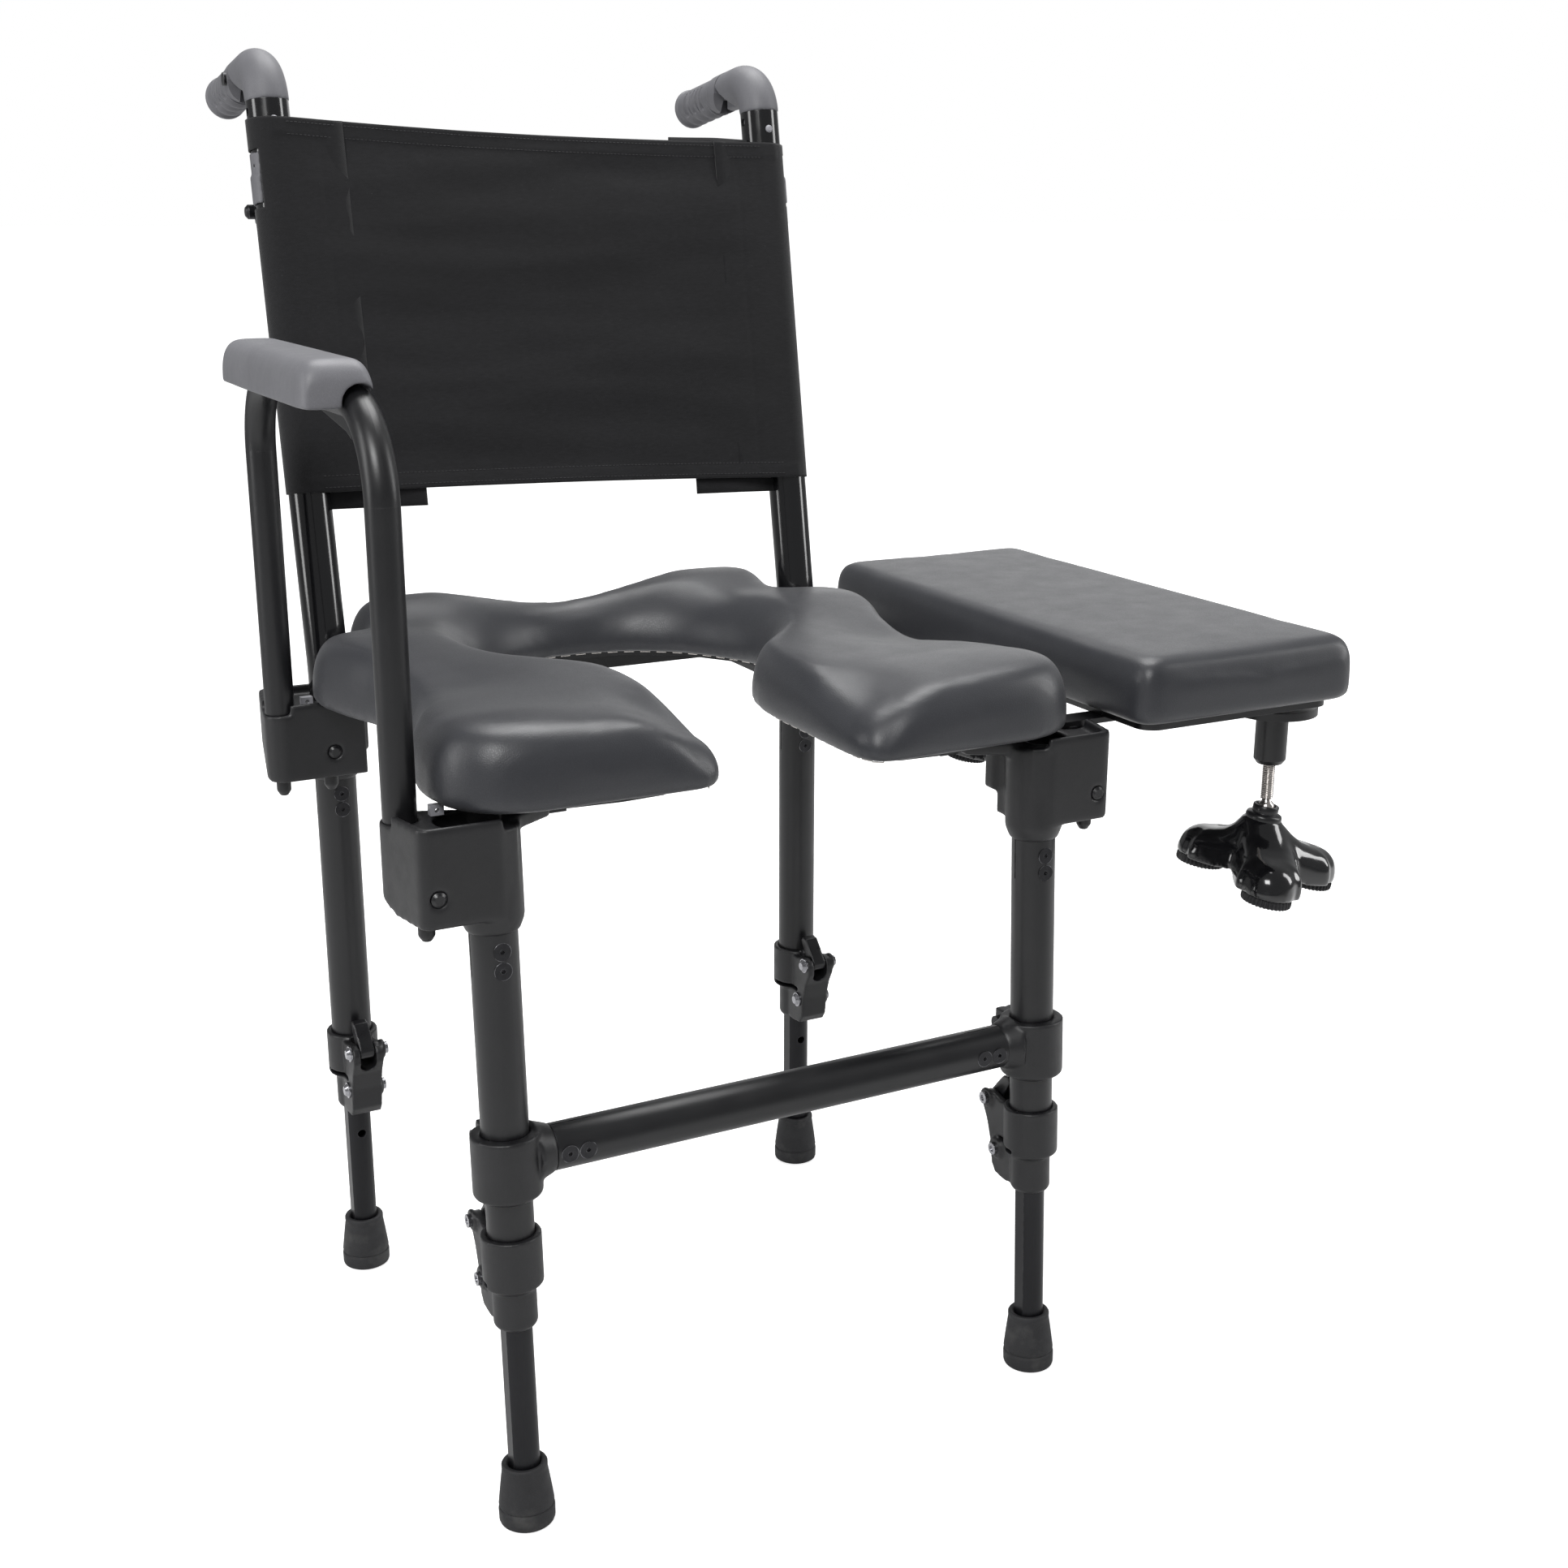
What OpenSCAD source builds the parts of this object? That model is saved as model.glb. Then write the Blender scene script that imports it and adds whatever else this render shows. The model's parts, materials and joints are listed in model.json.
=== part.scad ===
// Modular height-adjustable bath and commode chair with one armrest and a side transfer board.
// Millimetres. X runs across the seat, -Y is the open front of the seat, +Z is up.
// Left is -X, as seen from the front; the armrest is on the left, the board on the right.
// The origin is on the floor, under the middle of the four leg axes.

/* [Frame] */
// Distance from the centre plane to a leg axis, across the seat
leg_x = 209; // [205:0.5:214]
// Distance from the centre to a leg axis, front to back
leg_y = 185; // [182:0.5:190]
// Outer diameter of upper legs, cross bar and back tubes
tube_d = 32; // [31:0.1:32]
// Wall thickness of the large tubes
tube_wall = 2; // [1.5:0.1:2]
// Forward lean of the front legs, in degrees
front_lean = 2.8; // [2:0.1:3]
// Height of the corner bracket's lower end on the front legs
exit_z = 428.8; // [424:0.2:430]
// Height of the cross bar axis
bar_z = 270; // [262:1:275]

/* [Adjustable legs] */
// Outer diameter of the sliding lower legs and of the arm tube
slim_d = 22.2; // [21:0.1:22.2]
// Width across the two flats of a lower leg
flat_w = 19; // [18.5:0.1:20]
// Height of the lower end of the height clamp
clamp_z = 148.5; // [146:0.5:152]
// Spacing of the height holes
hole_pitch = 25; // [24:0.5:26]
// Diameter of the height holes
hole_d = 7; // [5:0.5:8]

/* [Seat] */
// Height of the underside of the seat cushion
seat_z = 508.5; // [508.5:0.5:512]
// Thickness of the seat cushion
seat_t = 50; // [45:1:55]

/* [Transfer board] */
// Edge of the side board nearest to the seat
board_x0 = 271; // [270.5:0.5:275]
// Width of the side board
board_w = 203; // [190:1:205]
// Length of the side board, front to back
board_l = 465; // [440:1:480]
// Thickness of the side board's padding
board_t = 51; // [45:1:55]

/* [Armrest] */
// Height of the armrest's tube axis
arm_z = 757; // [740:1:760]
// Bend radius of the armrest tube
arm_r = 58; // [50:1:60]

/* [Backrest] */
// Rearward lean of the back tubes, in degrees
back_lean = 9.8; // [9:0.1:10.5]
// Height at which the back tubes bend
back_bend_z = 521; // [520:1:530]
// Length of a back tube above its bend
back_len = 432; // [425:1:436]

/* [Hidden] */
$fn = 48;
overlap = 0.01;                 // depth by which stacked shapes run into each other
clearance = 0.05;               // radial running clearance
tube_r = tube_d / 2;
bore_r = tube_r - tube_wall;    // inner radius of a large tube
slim_r = slim_d / 2;

// Colours shared by several nodes
tube_black = [0.17, 0.17, 0.18];
fitting_black = [0.2, 0.2, 0.21];
base_black = [0.12, 0.12, 0.13];
button_black = [0.09, 0.09, 0.1];
handle_grey = [0.45, 0.45, 0.48];

// A corner is [side, end]: -1 is left or front, 1 is right or rear
FL = [-1, -1];
FR = [1, -1];
RL = [-1, 1];
RR = [1, 1];
FRONT_CORNERS = [FL, FR];
CORNERS = [FL, FR, RL, RR];
function is_rear(corner) = corner.y > 0;

rear_rise = 6;                  // the rear brackets sit this much higher on their legs
function rise_at(corner) = is_rear(corner) ? rear_rise : 0;
function exit_at(corner) = exit_z + rise_at(corner);

// Arm and board posts, as outward distances
post_x = 257;
post_front = 154;
post_rear = 152;
post_z = 453;                   // lower end of the posts
function post_y(corner) = is_rear(corner) ? post_rear : post_front;

// ---------- helpers ----------
function arc(cx, cy, r, from, to, steps) = [
    for (k = [0:steps])
        let (angle = from + (to - from) * k / steps)
            [cx + r * cos(angle), cy + r * sin(angle)]];

// Smooth (Catmull-Rom) curve between start and end, at t from 0 to 1
function spline(before, start, end, after, t) = 0.5 * (2 * start + (end - before) * t
    + (2 * before - 5 * start + 4 * end - after) * t * t
    + (3 * start - before - 3 * end + after) * t * t * t);

// Mirror when the given direction is negative
module x_flip(way) mirror([way < 0 ? 1 : 0, 0, 0]) children();
module y_flip(way) mirror([0, way < 0 ? 1 : 0, 0]) children();

// Places a shape drawn in the +X +Y quadrant at a corner
module at_corner(corner) x_flip(corner.x) y_flip(corner.y) children();

// Local frame of a leg: origin on its axis at height 0, local +Z up the leg,
// local +Y towards the middle of the chair
module at_leg(corner) {
    translate([corner.x * leg_x, corner.y * leg_y, exit_z])
        rotate([is_rear(corner) ? 0 : -front_lean, 0, 0])
            rotate([0, 0, is_rear(corner) ? 180 : 0])
                translate([0, 0, -exit_z / (is_rear(corner) ? 1 : cos(front_lean))])
                    children();
}

module x_cone(r1, r2, x, h) translate([x, 0, 0]) rotate([0, 90, 0]) cylinder(r1 = r1, r2 = r2, h = h);
module y_cone(r1, r2, y, h) translate([0, y, 0]) rotate([-90, 0, 0]) cylinder(r1 = r1, r2 = r2, h = h);
module x_rod(r, x0, x1) translate([x0, 0, 0]) rotate([0, 90, 0]) cylinder(r = r, h = x1 - x0);
module y_rod(r, y0, y1) translate([0, y0, 0]) rotate([-90, 0, 0]) cylinder(r = r, h = y1 - y0);

// Plate between x0 and x1 from an outline of [y, z] points
module yz_plate(points, x0, x1) {
    translate([x0, 0, 0]) rotate([90, 0, 90]) linear_extrude(x1 - x0) polygon(points);
}

// Bent rod in the Y-Z plane about (cy, cz), between angles measured from +Y towards +Z.
// It runs 1 degree into what it joins and is slightly thinner than it.
module yz_bend(cy, cz, bend_r, rod_r, from, to) {
    translate([0, cy, cz]) rotate([90, 0, 90]) rotate([0, 0, from - 1])
        rotate_extrude(angle = to - from + 2) translate([bend_r, 0]) circle(r = rod_r - 0.04);
}

// ---------- countersunk screws ----------
screw_r = 2.5;
spigot_screw_drops = [11.5, 24.5];  // below the bracket's lower end
bar_screw_insets = [8, 21];         // from the end of the cross bar
bar_half = leg_x - 31;

module at_spigot_screws(corner) {
    for (drop = spigot_screw_drops) translate([0, 0, exit_at(corner) - drop]) children();
}
module at_bar_screws(side) {
    for (inset = bar_screw_insets) translate([side * (bar_half - inset), 0, 0]) children();
}

// Each screw points along local Y; way gives the side its head is on.
// For a leg that is the corner's end, so every head faces the front of the chair.
module screw_bore(way) y_flip(way) y_rod(screw_r + clearance, 2, 20);
module screw_hole(way) y_flip(way) {
    y_rod(screw_r + clearance, 4, tube_r + 1);
    y_cone(2.9, 6.35, tube_r - 2.3, 2.35);
    y_rod(6.35, tube_r - overlap, tube_r - overlap + 2);
}
module screw(way) y_flip(way) difference() {
    union() {
        y_rod(screw_r, 4, tube_r - 1.2);
        y_cone(2.9, 6.2, tube_r - 2, 2);
    }
    translate([0, tube_r - 1.6, 0]) rotate([-90, 0, 0]) cylinder(r = 1.7, h = 4, $fn = 6);
}
module countersunk_screws() color(fitting_black) {
    for (corner = CORNERS) at_leg(corner) at_spigot_screws(corner) screw(corner.y);
    for (side = [-1, 1]) bar_frame() at_bar_screws(side) screw(-1);
}

// ---------- corner brackets ----------
bracket_z = 441;                // underside of the body
bracket_top = 500;
lip_z = bracket_top - 1;
lip_h = 8;
boss_r = 21;
boss_cone_h = 9;
spigot_len = 36;
button_z = 461;
button_r = 5.05;
function button_x(corner) = is_rear(corner) ? 220 : 250;

// Outlines in plan, [x, y] outward from the centre
function bracket_outline(corner) = concat(
    is_rear(corner)
        ? concat([[195, 137]], arc(256, 151, 14, -90, 0, 8))
        : concat([[195, 156], [240, 139.5]], arc(256, 153.5, 14, -90, 0, 8)),
    arc(253, 197.5, 9, 0, 90, 6),
    [[209, 206.5], [195, 200]]);
lip_outline = concat(
    [[267.3, 168]], arc(253, 197.5, 9, 0, 90, 6), [[206, 206.5], [206, 201.5]],
    arc(251, 195.5, 6, 90, 0, 6), [[262.3, 168]]);
wing_outline = [[200, 190], [192, 186], [160.2, 166], [160.2, 141], [200, 141]];
// Cuts under the outboard edge, [outward y, z]
rear_edge_cut = [[157, 430], [157, 446], [207, 465], [230, 472], [230, 430]];
front_edge_cut = [[120, 430], [120, 457], [139, 450.5], [171, 440], [171, 430]];

module bracket_solid(corner) {
    rise = rise_at(corner);
    at_corner(corner) {
        difference() {
            translate([0, 0, bracket_z + rise])
                linear_extrude(bracket_top - bracket_z - rise) polygon(bracket_outline(corner));
            // the outboard lower edge rises towards the back of the chair
            yz_plate(is_rear(corner) ? rear_edge_cut : front_edge_cut, 236, 286);
        }
        // raised lip round the outer edge of the top
        translate([0, 0, lip_z]) linear_extrude(lip_h) polygon(lip_outline);
        if (is_rear(corner)) translate([200, 137, lip_z]) cube([52, 4.5, lip_h]);
        // wing that carries the seat
        translate([0, 0, 491]) linear_extrude(11) polygon(wing_outline);
        translate([191, 144, 458 + rise]) cube([12, 13, 44 - rise]);
    }
    // boss that takes the upper leg, and its spigot inside the leg
    at_leg(corner) translate([0, 0, exit_at(corner)]) {
        cylinder(r1 = 17.5, r2 = boss_r, h = boss_cone_h);
        translate([0, 0, boss_cone_h - overlap]) cylinder(r = boss_r, h = 61 - rise);
        translate([0, 0, -spigot_len]) cylinder(r = bore_r - clearance, h = spigot_len + overlap);
    }
}
module bracket_cuts(corner) {
    // level off above the lip
    translate([corner.x * leg_x - 40, corner.y * leg_y - 60, lip_z + lip_h]) cube([80, 120, 30]);
    at_corner(corner) {
        // post socket
        translate([post_x, post_y(corner), post_z - 1]) cylinder(r = slim_r + clearance, h = 60);
        // back tube socket, or the round recess in a front bracket's top
        if (is_rear(corner)) {
            translate([leg_x, leg_y, 462]) cylinder(r = tube_r + clearance, h = 60);
        } else {
            translate([219, 171, 486]) cylinder(r = boss_r, h = 30);
        }
        // release button bore
        translate([button_x(corner), 0, button_z + rise_at(corner)])
            if (is_rear(corner)) y_rod(button_r + clearance, 120, 152);
            else y_rod(button_r + clearance, 192, 220);
    }
    // screws into the spigot
    at_leg(corner) at_spigot_screws(corner) screw_bore(corner.y);
}
module bracket(corner) color(fitting_black) difference() {
    bracket_solid(corner);
    bracket_cuts(corner);
}

module release_button(corner) color(button_black) at_corner(corner)
    translate([button_x(corner), is_rear(corner) ? 136 : 207.5, button_z + rise_at(corner)])
        y_flip(corner.y) {
            y_rod(button_r, 1.6, 8);
            y_cone(3.2, button_r, 0, 1.6 + overlap);
        }

// Round tabs under the brackets
module latch_tabs() color(button_black)
    for (corner = CORNERS)
        for (x = is_rear(corner) ? [221, 258] : [253])
            at_corner(corner)
                translate([x, is_rear(corner) ? 152 : 186, bracket_z - clearance + rise_at(corner)]) {
                    translate([0, 0, -9]) cylinder(r = 5.5, h = 9);
                    translate([0, 0, -13]) cylinder(r1 = 3, r2 = 5.5, h = 4 + overlap);
                }

// ---------- upper legs and cross bar ----------
slit_w = 1.2;
slit_len = 30;                  // from the tube's end
clamp_socket_z = 37.5;          // floor of the upper leg's socket, above clamp_z

module upper_leg(corner) color(tube_black) at_leg(corner) {
    top = exit_at(corner);
    bottom = clamp_z + clamp_socket_z + 0.5;
    difference() {
        translate([0, 0, bottom]) difference() {
            cylinder(r = tube_r, h = top - bottom);
            translate([0, 0, -1]) cylinder(r = bore_r, h = top - bottom + 2);
        }
        // slits at the top
        for (x = [-20, 10])
            translate([x, -slit_w / 2, top - slit_len]) cube([10, slit_w, slit_len + 1]);
        at_spigot_screws(corner) screw_hole(corner.y);
    }
}

// Origin at the middle of the cross bar's axis
module bar_frame() {
    translate([0, -leg_y - tan(front_lean) * (exit_z - bar_z), bar_z]) children();
}
module crossbar() color(tube_black) bar_frame() difference() {
    x_rod(tube_r, -bar_half, bar_half);
    x_rod(bore_r, -bar_half - 1, bar_half + 1);
    for (side = [-1, 1]) at_bar_screws(side) screw_hole(-1);
    for (x = [-bar_half - 1, bar_half - slit_len])
        translate([x, -slit_w / 2, 8]) cube([slit_len + 1, slit_w, 10]);
}

// ---------- tee clamps between front legs and cross bar ----------
tee_z = 246;
tee_r = 23.5;
pinch_bolt = [0, 28, 276];      // in the leg's frame
cross_bolt_r = 3;               // bolts of the tee and height clamps

module tee_clamp(corner) color(fitting_black) difference() {
    union() {
        at_leg(corner) {
            translate([0, 0, tee_z]) cylinder(r = tee_r, h = 42.5);
            translate([0, 0, tee_z - 3.5]) cylinder(r1 = 18.5, r2 = tee_r, h = 3.5 + overlap);
            // lug of the pinch bolt
            translate([-9, 17, 266]) cube([18, 19, 19.5]);
        }
        bar_frame() x_flip(corner.x) {
            x_rod(tube_r, bar_half + 0.1, leg_x - 4);
            x_cone(tube_r + 0.6, tube_r + 5, bar_half + 1, 12);
            // spigot inside the cross bar
            x_rod(bore_r - clearance, bar_half - 30, bar_half + 1);
        }
    }
    at_leg(corner) {
        translate([0, 0, 230]) cylinder(r = tube_r + clearance, h = 70);
        // squeeze slot
        translate([-0.8, 10, 262]) cube([1.6, 40, 30]);
        translate(pinch_bolt) x_rod(cross_bolt_r + clearance, -20, 20);
    }
    bar_frame() x_flip(corner.x) at_bar_screws(1) screw_bore(-1);
}
module tee_pinch_bolts() color([0.25, 0.25, 0.26])
    for (corner = FRONT_CORNERS) at_leg(corner) translate(pinch_bolt) {
        x_rod(cross_bolt_r, -12, 12);
        x_rod(5.5, -14, -9 - clearance);
        x_rod(5.2, 9 + clearance, 13);
    }

// ---------- height clamps ----------
// Cross bolts, in the clamp's frame
upper_bolt = [0, 40, 62.5];
lower_bolt = [0, 27, 25];
collar_r = 20.5;                // round the upper leg
sleeve_r = 15;                  // round the lower leg
pocket_w = 13;                  // lever pocket
lever_w = 11.8;
// Housing on the inner side, [y, z]
housing_outline = [
    [6, 3], [16, 1.5], [30, 3], [35, 10], [37, 28], [42, 44],
    [48, 55], [48, 62], [45, 67], [38, 69], [24, 65], [6, 65]];

// The leg's frame, raised to the clamp's lower end
module at_clamp(corner) at_leg(corner) translate([0, 0, clamp_z]) children();

module height_clamp(corner) color(fitting_black) at_clamp(corner) difference() {
    union() {
        translate([0, 0, 32]) cylinder(r = collar_r, h = 36);
        translate([0, 0, 28]) cylinder(r1 = sleeve_r, r2 = collar_r, h = 4 + overlap);
        translate([0, 0, 3]) cylinder(r = sleeve_r, h = 25 + overlap);
        cylinder(r1 = 13, r2 = sleeve_r, h = 3 + overlap);
        yz_plate(housing_outline, -12.5, 12.5);
        // bosses round the bolt ends
        translate(upper_bolt) x_rod(7.5, -15, -12);
        translate(lower_bolt) x_rod(8, -15, -12);
    }
    translate([0, 0, clamp_socket_z]) cylinder(r = tube_r + clearance, h = 60);
    translate([0, 0, -5]) cylinder(r = slim_r + clearance, h = 60);
    // pocket of the lever, open towards the top and the inner face
    translate([-pocket_w / 2, 17, 53]) cube([pocket_w, 60, 40]);
    translate([0, 0, 53]) y_rod(pocket_w / 2, 17, 60);
    // squeeze slot
    translate([-30, -4, 32.5]) cube([60, 30, 3]);
    for (bolt = [upper_bolt, lower_bolt])
        translate(bolt) x_rod(cross_bolt_r + clearance, -30, 30);
}
module clamp_bolts() color([0.55, 0.55, 0.57])
    for (corner = CORNERS) at_clamp(corner)
        for (bolt = [upper_bolt, lower_bolt]) translate(bolt) {
            x_rod(cross_bolt_r, -16, 14);
            difference() {
                x_rod(4.7, -17.5, -15 - clearance);
                x_rod(2.4, -18, -16.5);
            }
            x_rod(6.5, 12.5 + clearance, 14);
            x_cone(5.5, 3.5, 14, 2.6);
        }
module clamp_lever(corner) color([0.1, 0.1, 0.11])
    at_clamp(corner) translate(upper_bolt) difference() {
        yz_plate(concat(arc(0, 0, 6, -150, 40, 12),
            [[-4, 13], [-11, 20], [-17, 21], [-20, 17], [-13, 6]]), -lever_w / 2, lever_w / 2);
        x_rod(cross_bolt_r + clearance, -20, 20);
    }

// ---------- sliding legs and feet ----------
lower_leg_z = 9;                // lower end of the sliding leg
lowest_hole = -24.5;            // above clamp_z

module lower_leg(corner) color(tube_black) at_leg(corner) difference() {
    intersection() {
        translate([0, 0, lower_leg_z]) cylinder(r = slim_r, h = 277);
        translate([-flat_w / 2, -20, 0]) cube([flat_w, 40, 400]);
    }
    translate([0, 0, 5]) cylinder(r = slim_r - 2.4, h = 300);
    for (k = [0:5])
        translate([0, 0, clamp_z + lowest_hole + k * hole_pitch]) y_rod(hole_d / 2, 4, 20);
}
module foot_tip(corner) color(base_black) difference() {
    at_leg(corner) difference() {
        union() {
            translate([0, 0, -3]) cylinder(r = 19.5, h = 14);
            translate([0, 0, 11 - overlap]) cylinder(r1 = 18.4, r2 = 19, h = 1.4);
            translate([0, 0, 12]) cylinder(r1 = 19, r2 = 15, h = 30);
            translate([0, 0, 42 - overlap]) cylinder(r1 = 15, r2 = 14.2, h = 2.5);
        }
        // moulded to the leg's flattened section
        translate([0, 0, lower_leg_z - clearance]) intersection() {
            cylinder(r = slim_r + clearance, h = 60);
            translate([-flat_w / 2 - clearance, -20, 0]) cube([flat_w + 2 * clearance, 40, 70]);
        }
    }
    // cut level with the floor
    translate([corner.x * leg_x - 50, corner.y * leg_y - 80, -20]) cube([100, 160, 20]);
}

// ---------- armrest ----------
arm_bend_z = arm_z - arm_r;     // where the uprights start to bend

module arm_tube() color(tube_black) translate([-post_x, 0, 0]) difference() {
    union() {
        for (y = [-post_front, post_rear])
            translate([0, y, post_z]) cylinder(r = slim_r, h = arm_bend_z - post_z);
        yz_bend(-post_front + arm_r, arm_bend_z, arm_r, slim_r, 90, 180);
        yz_bend(post_rear - arm_r, arm_bend_z, arm_r, slim_r, 0, 90);
        translate([0, 0, arm_z]) y_rod(slim_r, -post_front + arm_r, post_rear - arm_r);
        // gusset under the front of the pad
        translate([0, 0, arm_z])
            yz_plate([[-12, -9], [-100, -9], [-100, -24], [-88, -20]], -1.5, 1.5);
    }
    for (y = [-post_front, post_rear])
        translate([0, y, 440]) cylinder(r = slim_r - 2, h = 120);
}
module arm_pad() color([0.42, 0.42, 0.45]) translate([0, 0, arm_z]) difference() {
    translate([0, 0, -3]) {
        translate([-295, -118, 0]) cube([49, 210, 30]);
        translate([-287, -128, 0]) cube([33, 230, 30]);
        for (x = [-285, -256])
            for (y = [-118, 92]) translate([x, y, 0]) cylinder(r = 10, h = 30);
    }
    // groove over the tube
    translate([-post_x, 0, 0]) {
        y_rod(slim_r + clearance, -140, 140);
        translate([-slim_r - clearance, -140, -20]) cube([2 * (slim_r + clearance), 280, 20]);
    }
}

// ---------- seat ----------
seat_board_z = 502.5;
rail_x = 160;                   // outer face of the side rails
rail_w = 15;

// Right halves of the outlines, [x, y]: clockwise from above, from the middle of the rear
// edge to the front gap, then back along the opening
seat_half = [
    [0, 240], [60, 241], [118, 243], [160, 238], [183, 218], [186, 195], [188, 172], [206, 164],
    [228, 152], [237, 118], [226, 76], [206, 32], [200, -14], [210, -60], [234, -108],
    [240, -150], [232, -188], [200, -212], [120, -216], [68, -214], [53, -198], [50, -170],
    [50, -110], [54, -60], [67, -20], [91, 12], [112, 45], [118, 82], [107, 120], [80, 160],
    [42, 184], [0, 191]];
board_half = [
    [0, 222], [60, 223], [116, 225], [144, 219], [162, 200], [164, 176], [168, 156], [188, 130],
    [197, 106], [188, 70], [170, 30], [166, -14], [174, -58], [196, -106], [199, -146],
    [190, -172], [166, -188], [120, -192], [90, -190], [76, -182], [73, -163], [73, -110],
    [77, -62], [89, -20], [112, 14], [131, 44], [139, 84], [127, 131], [96, 176], [50, 203],
    [0, 210]];

// Smooth curve through a half outline; its mirror image supplies the neighbours of both ends
function mirror_x(point) = [-point.x, point.y];
function smooth_half(half, steps) = let (last = len(half) - 1) concat(
    [for (i = [0:last - 1]) for (k = [0:steps - 1])
        spline(i == 0 ? mirror_x(half[1]) : half[i - 1], half[i], half[i + 1],
            i == last - 1 ? mirror_x(half[i]) : half[i + 2], k / steps)],
    [[0, half[last].y]]);

// U-shaped plate, open at the front, from a right half outline
module u_plate(half, steps, h) {
    right = smooth_half(half, steps);
    rear_y = half[0].y;
    opening_y = half[len(half) - 1].y;
    linear_extrude(h) union() {
        polygon(right);
        polygon([for (k = [len(right) - 1:-1:0]) mirror_x(right[k])]);
        // strip that joins the halves across the centre plane
        translate([-0.5, opening_y + 0.2]) square([1, rear_y - opening_y - 0.4]);
    }
}
module seat_cushion() color([0.36, 0.36, 0.38])
    translate([0, 0, seat_z]) u_plate(seat_half, 2, seat_t);
module seat_board() color(base_black)
    translate([0, 0, seat_board_z]) u_plate(board_half, 1, seat_z - seat_board_z - clearance);
module seat_rails() color(fitting_black) {
    for (x = [-rail_x, rail_x - rail_w]) translate([x, -156, 490]) cube([rail_w, 377.8, 12]);
    translate([-rail_x, 222, 488]) cube([2 * rail_x, 13, 13]);
}
// Light clips between the bracket tops and the cushion, beside the four post sockets
module seat_clips() color([0.6, 0.6, 0.62])
    for (corner = CORNERS) at_corner(corner)
        translate([229, is_rear(corner) ? 160 : 152, bracket_top + clearance]) difference() {
            cube([9, 6, 6.9]);
            translate([4.5, -1, 3.4]) y_rod(1.6, 0, 8);
        }

// ---------- side transfer board ----------
board_y = 4.5;                  // centre of the side board
board_base_z = 505;
board_pad_z = 511;
hanger_z = 500.6;               // underside of the hanger's flat bars
hanger_t = 4.3;
board_leg_x = 438;
board_leg_y = 176;
rod_r = 5;
ball_z = 415;                   // centre of the leveling rod's ball
ball_r = 7;

// Rounded plate, inset from the edges of the side board
module board_plate(inset, corner_r, h) {
    x0 = board_x0 + inset;
    y0 = board_y - board_l / 2 + inset;
    w = board_w - 2 * inset;
    l = board_l - 2 * inset;
    translate([x0 + corner_r, y0, 0]) cube([w - 2 * corner_r, l, h]);
    translate([x0, y0 + corner_r, 0]) cube([w, l - 2 * corner_r, h]);
    for (x = [x0 + corner_r, x0 + w - corner_r])
        for (y = [y0 + corner_r, y0 + l - corner_r])
            translate([x, y, 0]) cylinder(r = corner_r, h = h);
}
module transfer_pad() color([0.3, 0.3, 0.32])
    translate([0, 0, board_pad_z]) board_plate(0, 22, board_t);
module transfer_board_base() color(base_black)
    translate([0, 0, board_base_z]) board_plate(13, 14, board_pad_z - board_base_z - clearance);

// Two posts that drop into the corner sockets, each with a flat arm under the board
module board_hanger() color(fitting_black) {
    arm_x0 = post_x - 10;
    for (y = [-post_front, post_rear]) {
        translate([post_x, y, post_z]) cylinder(r = slim_r, h = 48);
        translate([arm_x0, y - 10, hanger_z]) cube([board_x0 + board_w - 18 - arm_x0, 20, hanger_t]);
    }
    // strip between the arms
    translate([board_x0 + 60, -post_front, hanger_z]) cube([26, post_front + post_rear, hanger_t]);
}

// Axis of a leg of the side board; end is -1 at the front, 1 at the rear
module at_board_leg(end) translate([board_leg_x, end * board_leg_y, 0]) children();

module leg_sleeves() color(base_black) for (end = [-1, 1]) at_board_leg(end) difference() {
    union() {
        translate([0, 0, 494]) cylinder(r = 34, h = 6.5);
        translate([0, 0, 456]) cylinder(r = 12.5, h = 40);
        translate([0, 0, 452.5]) cylinder(r1 = 10, r2 = 12.5, h = 3.5 + overlap);
    }
    translate([0, 0, 440]) cylinder(r = rod_r + clearance, h = 58);
}
module leveling_rod(end) color([0.7, 0.68, 0.66]) at_board_leg(end) translate([0, 0, ball_z]) {
    translate([0, 0, 8]) cylinder(r = rod_r, h = 56);
    cylinder(r = 3.6, h = 9);
    sphere(r = ball_r);
}
// Tilted foot with three splayed toes, on the rod's ball
module tripod_foot(end) color(button_black) at_board_leg(end) translate([0, 0, ball_z])
    rotate(a = 10, v = [0.4645, 0.8856, 0]) difference() {
        union() {
            // hub, [radius, z]
            rotate_extrude() polygon([
                [0, 3], [10, 3], [10, -2], [13.5, -6], [17, -16], [20, -28], [20, -42], [0, -42]]);
            for (k = [0:2]) rotate([0, 0, -3.5 + 120 * k]) {
                translate([0, 0, -14]) rotate([0, 112, 0]) cylinder(r1 = 13, r2 = 16, h = 44);
                translate([50, 0, -39.5]) sphere(r = 22);
                translate([50, 0, -62]) cylinder(r = 19, h = 16);
            }
        }
        sphere(r = ball_r + clearance);
        cylinder(r1 = 6.2, r2 = 8, h = 8);
    }

// ---------- backrest ----------
back_tube_z = 463;              // lower end of the back tubes
back_bend_r = 150;
back_bend_run = back_bend_r * tan(back_lean / 2);  // from the bend's corner to either arc end
snap_z = back_len - 16;         // along the back tube from its bend
snap_r = 3.05;

// Origin at the corner of the tube bends, local +Z up the leaning tubes
module back_frame() translate([0, leg_y, back_bend_z]) rotate([-back_lean, 0, 0]) children();
module at_side(side) translate([side * leg_x, 0, 0]) children();

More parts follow.
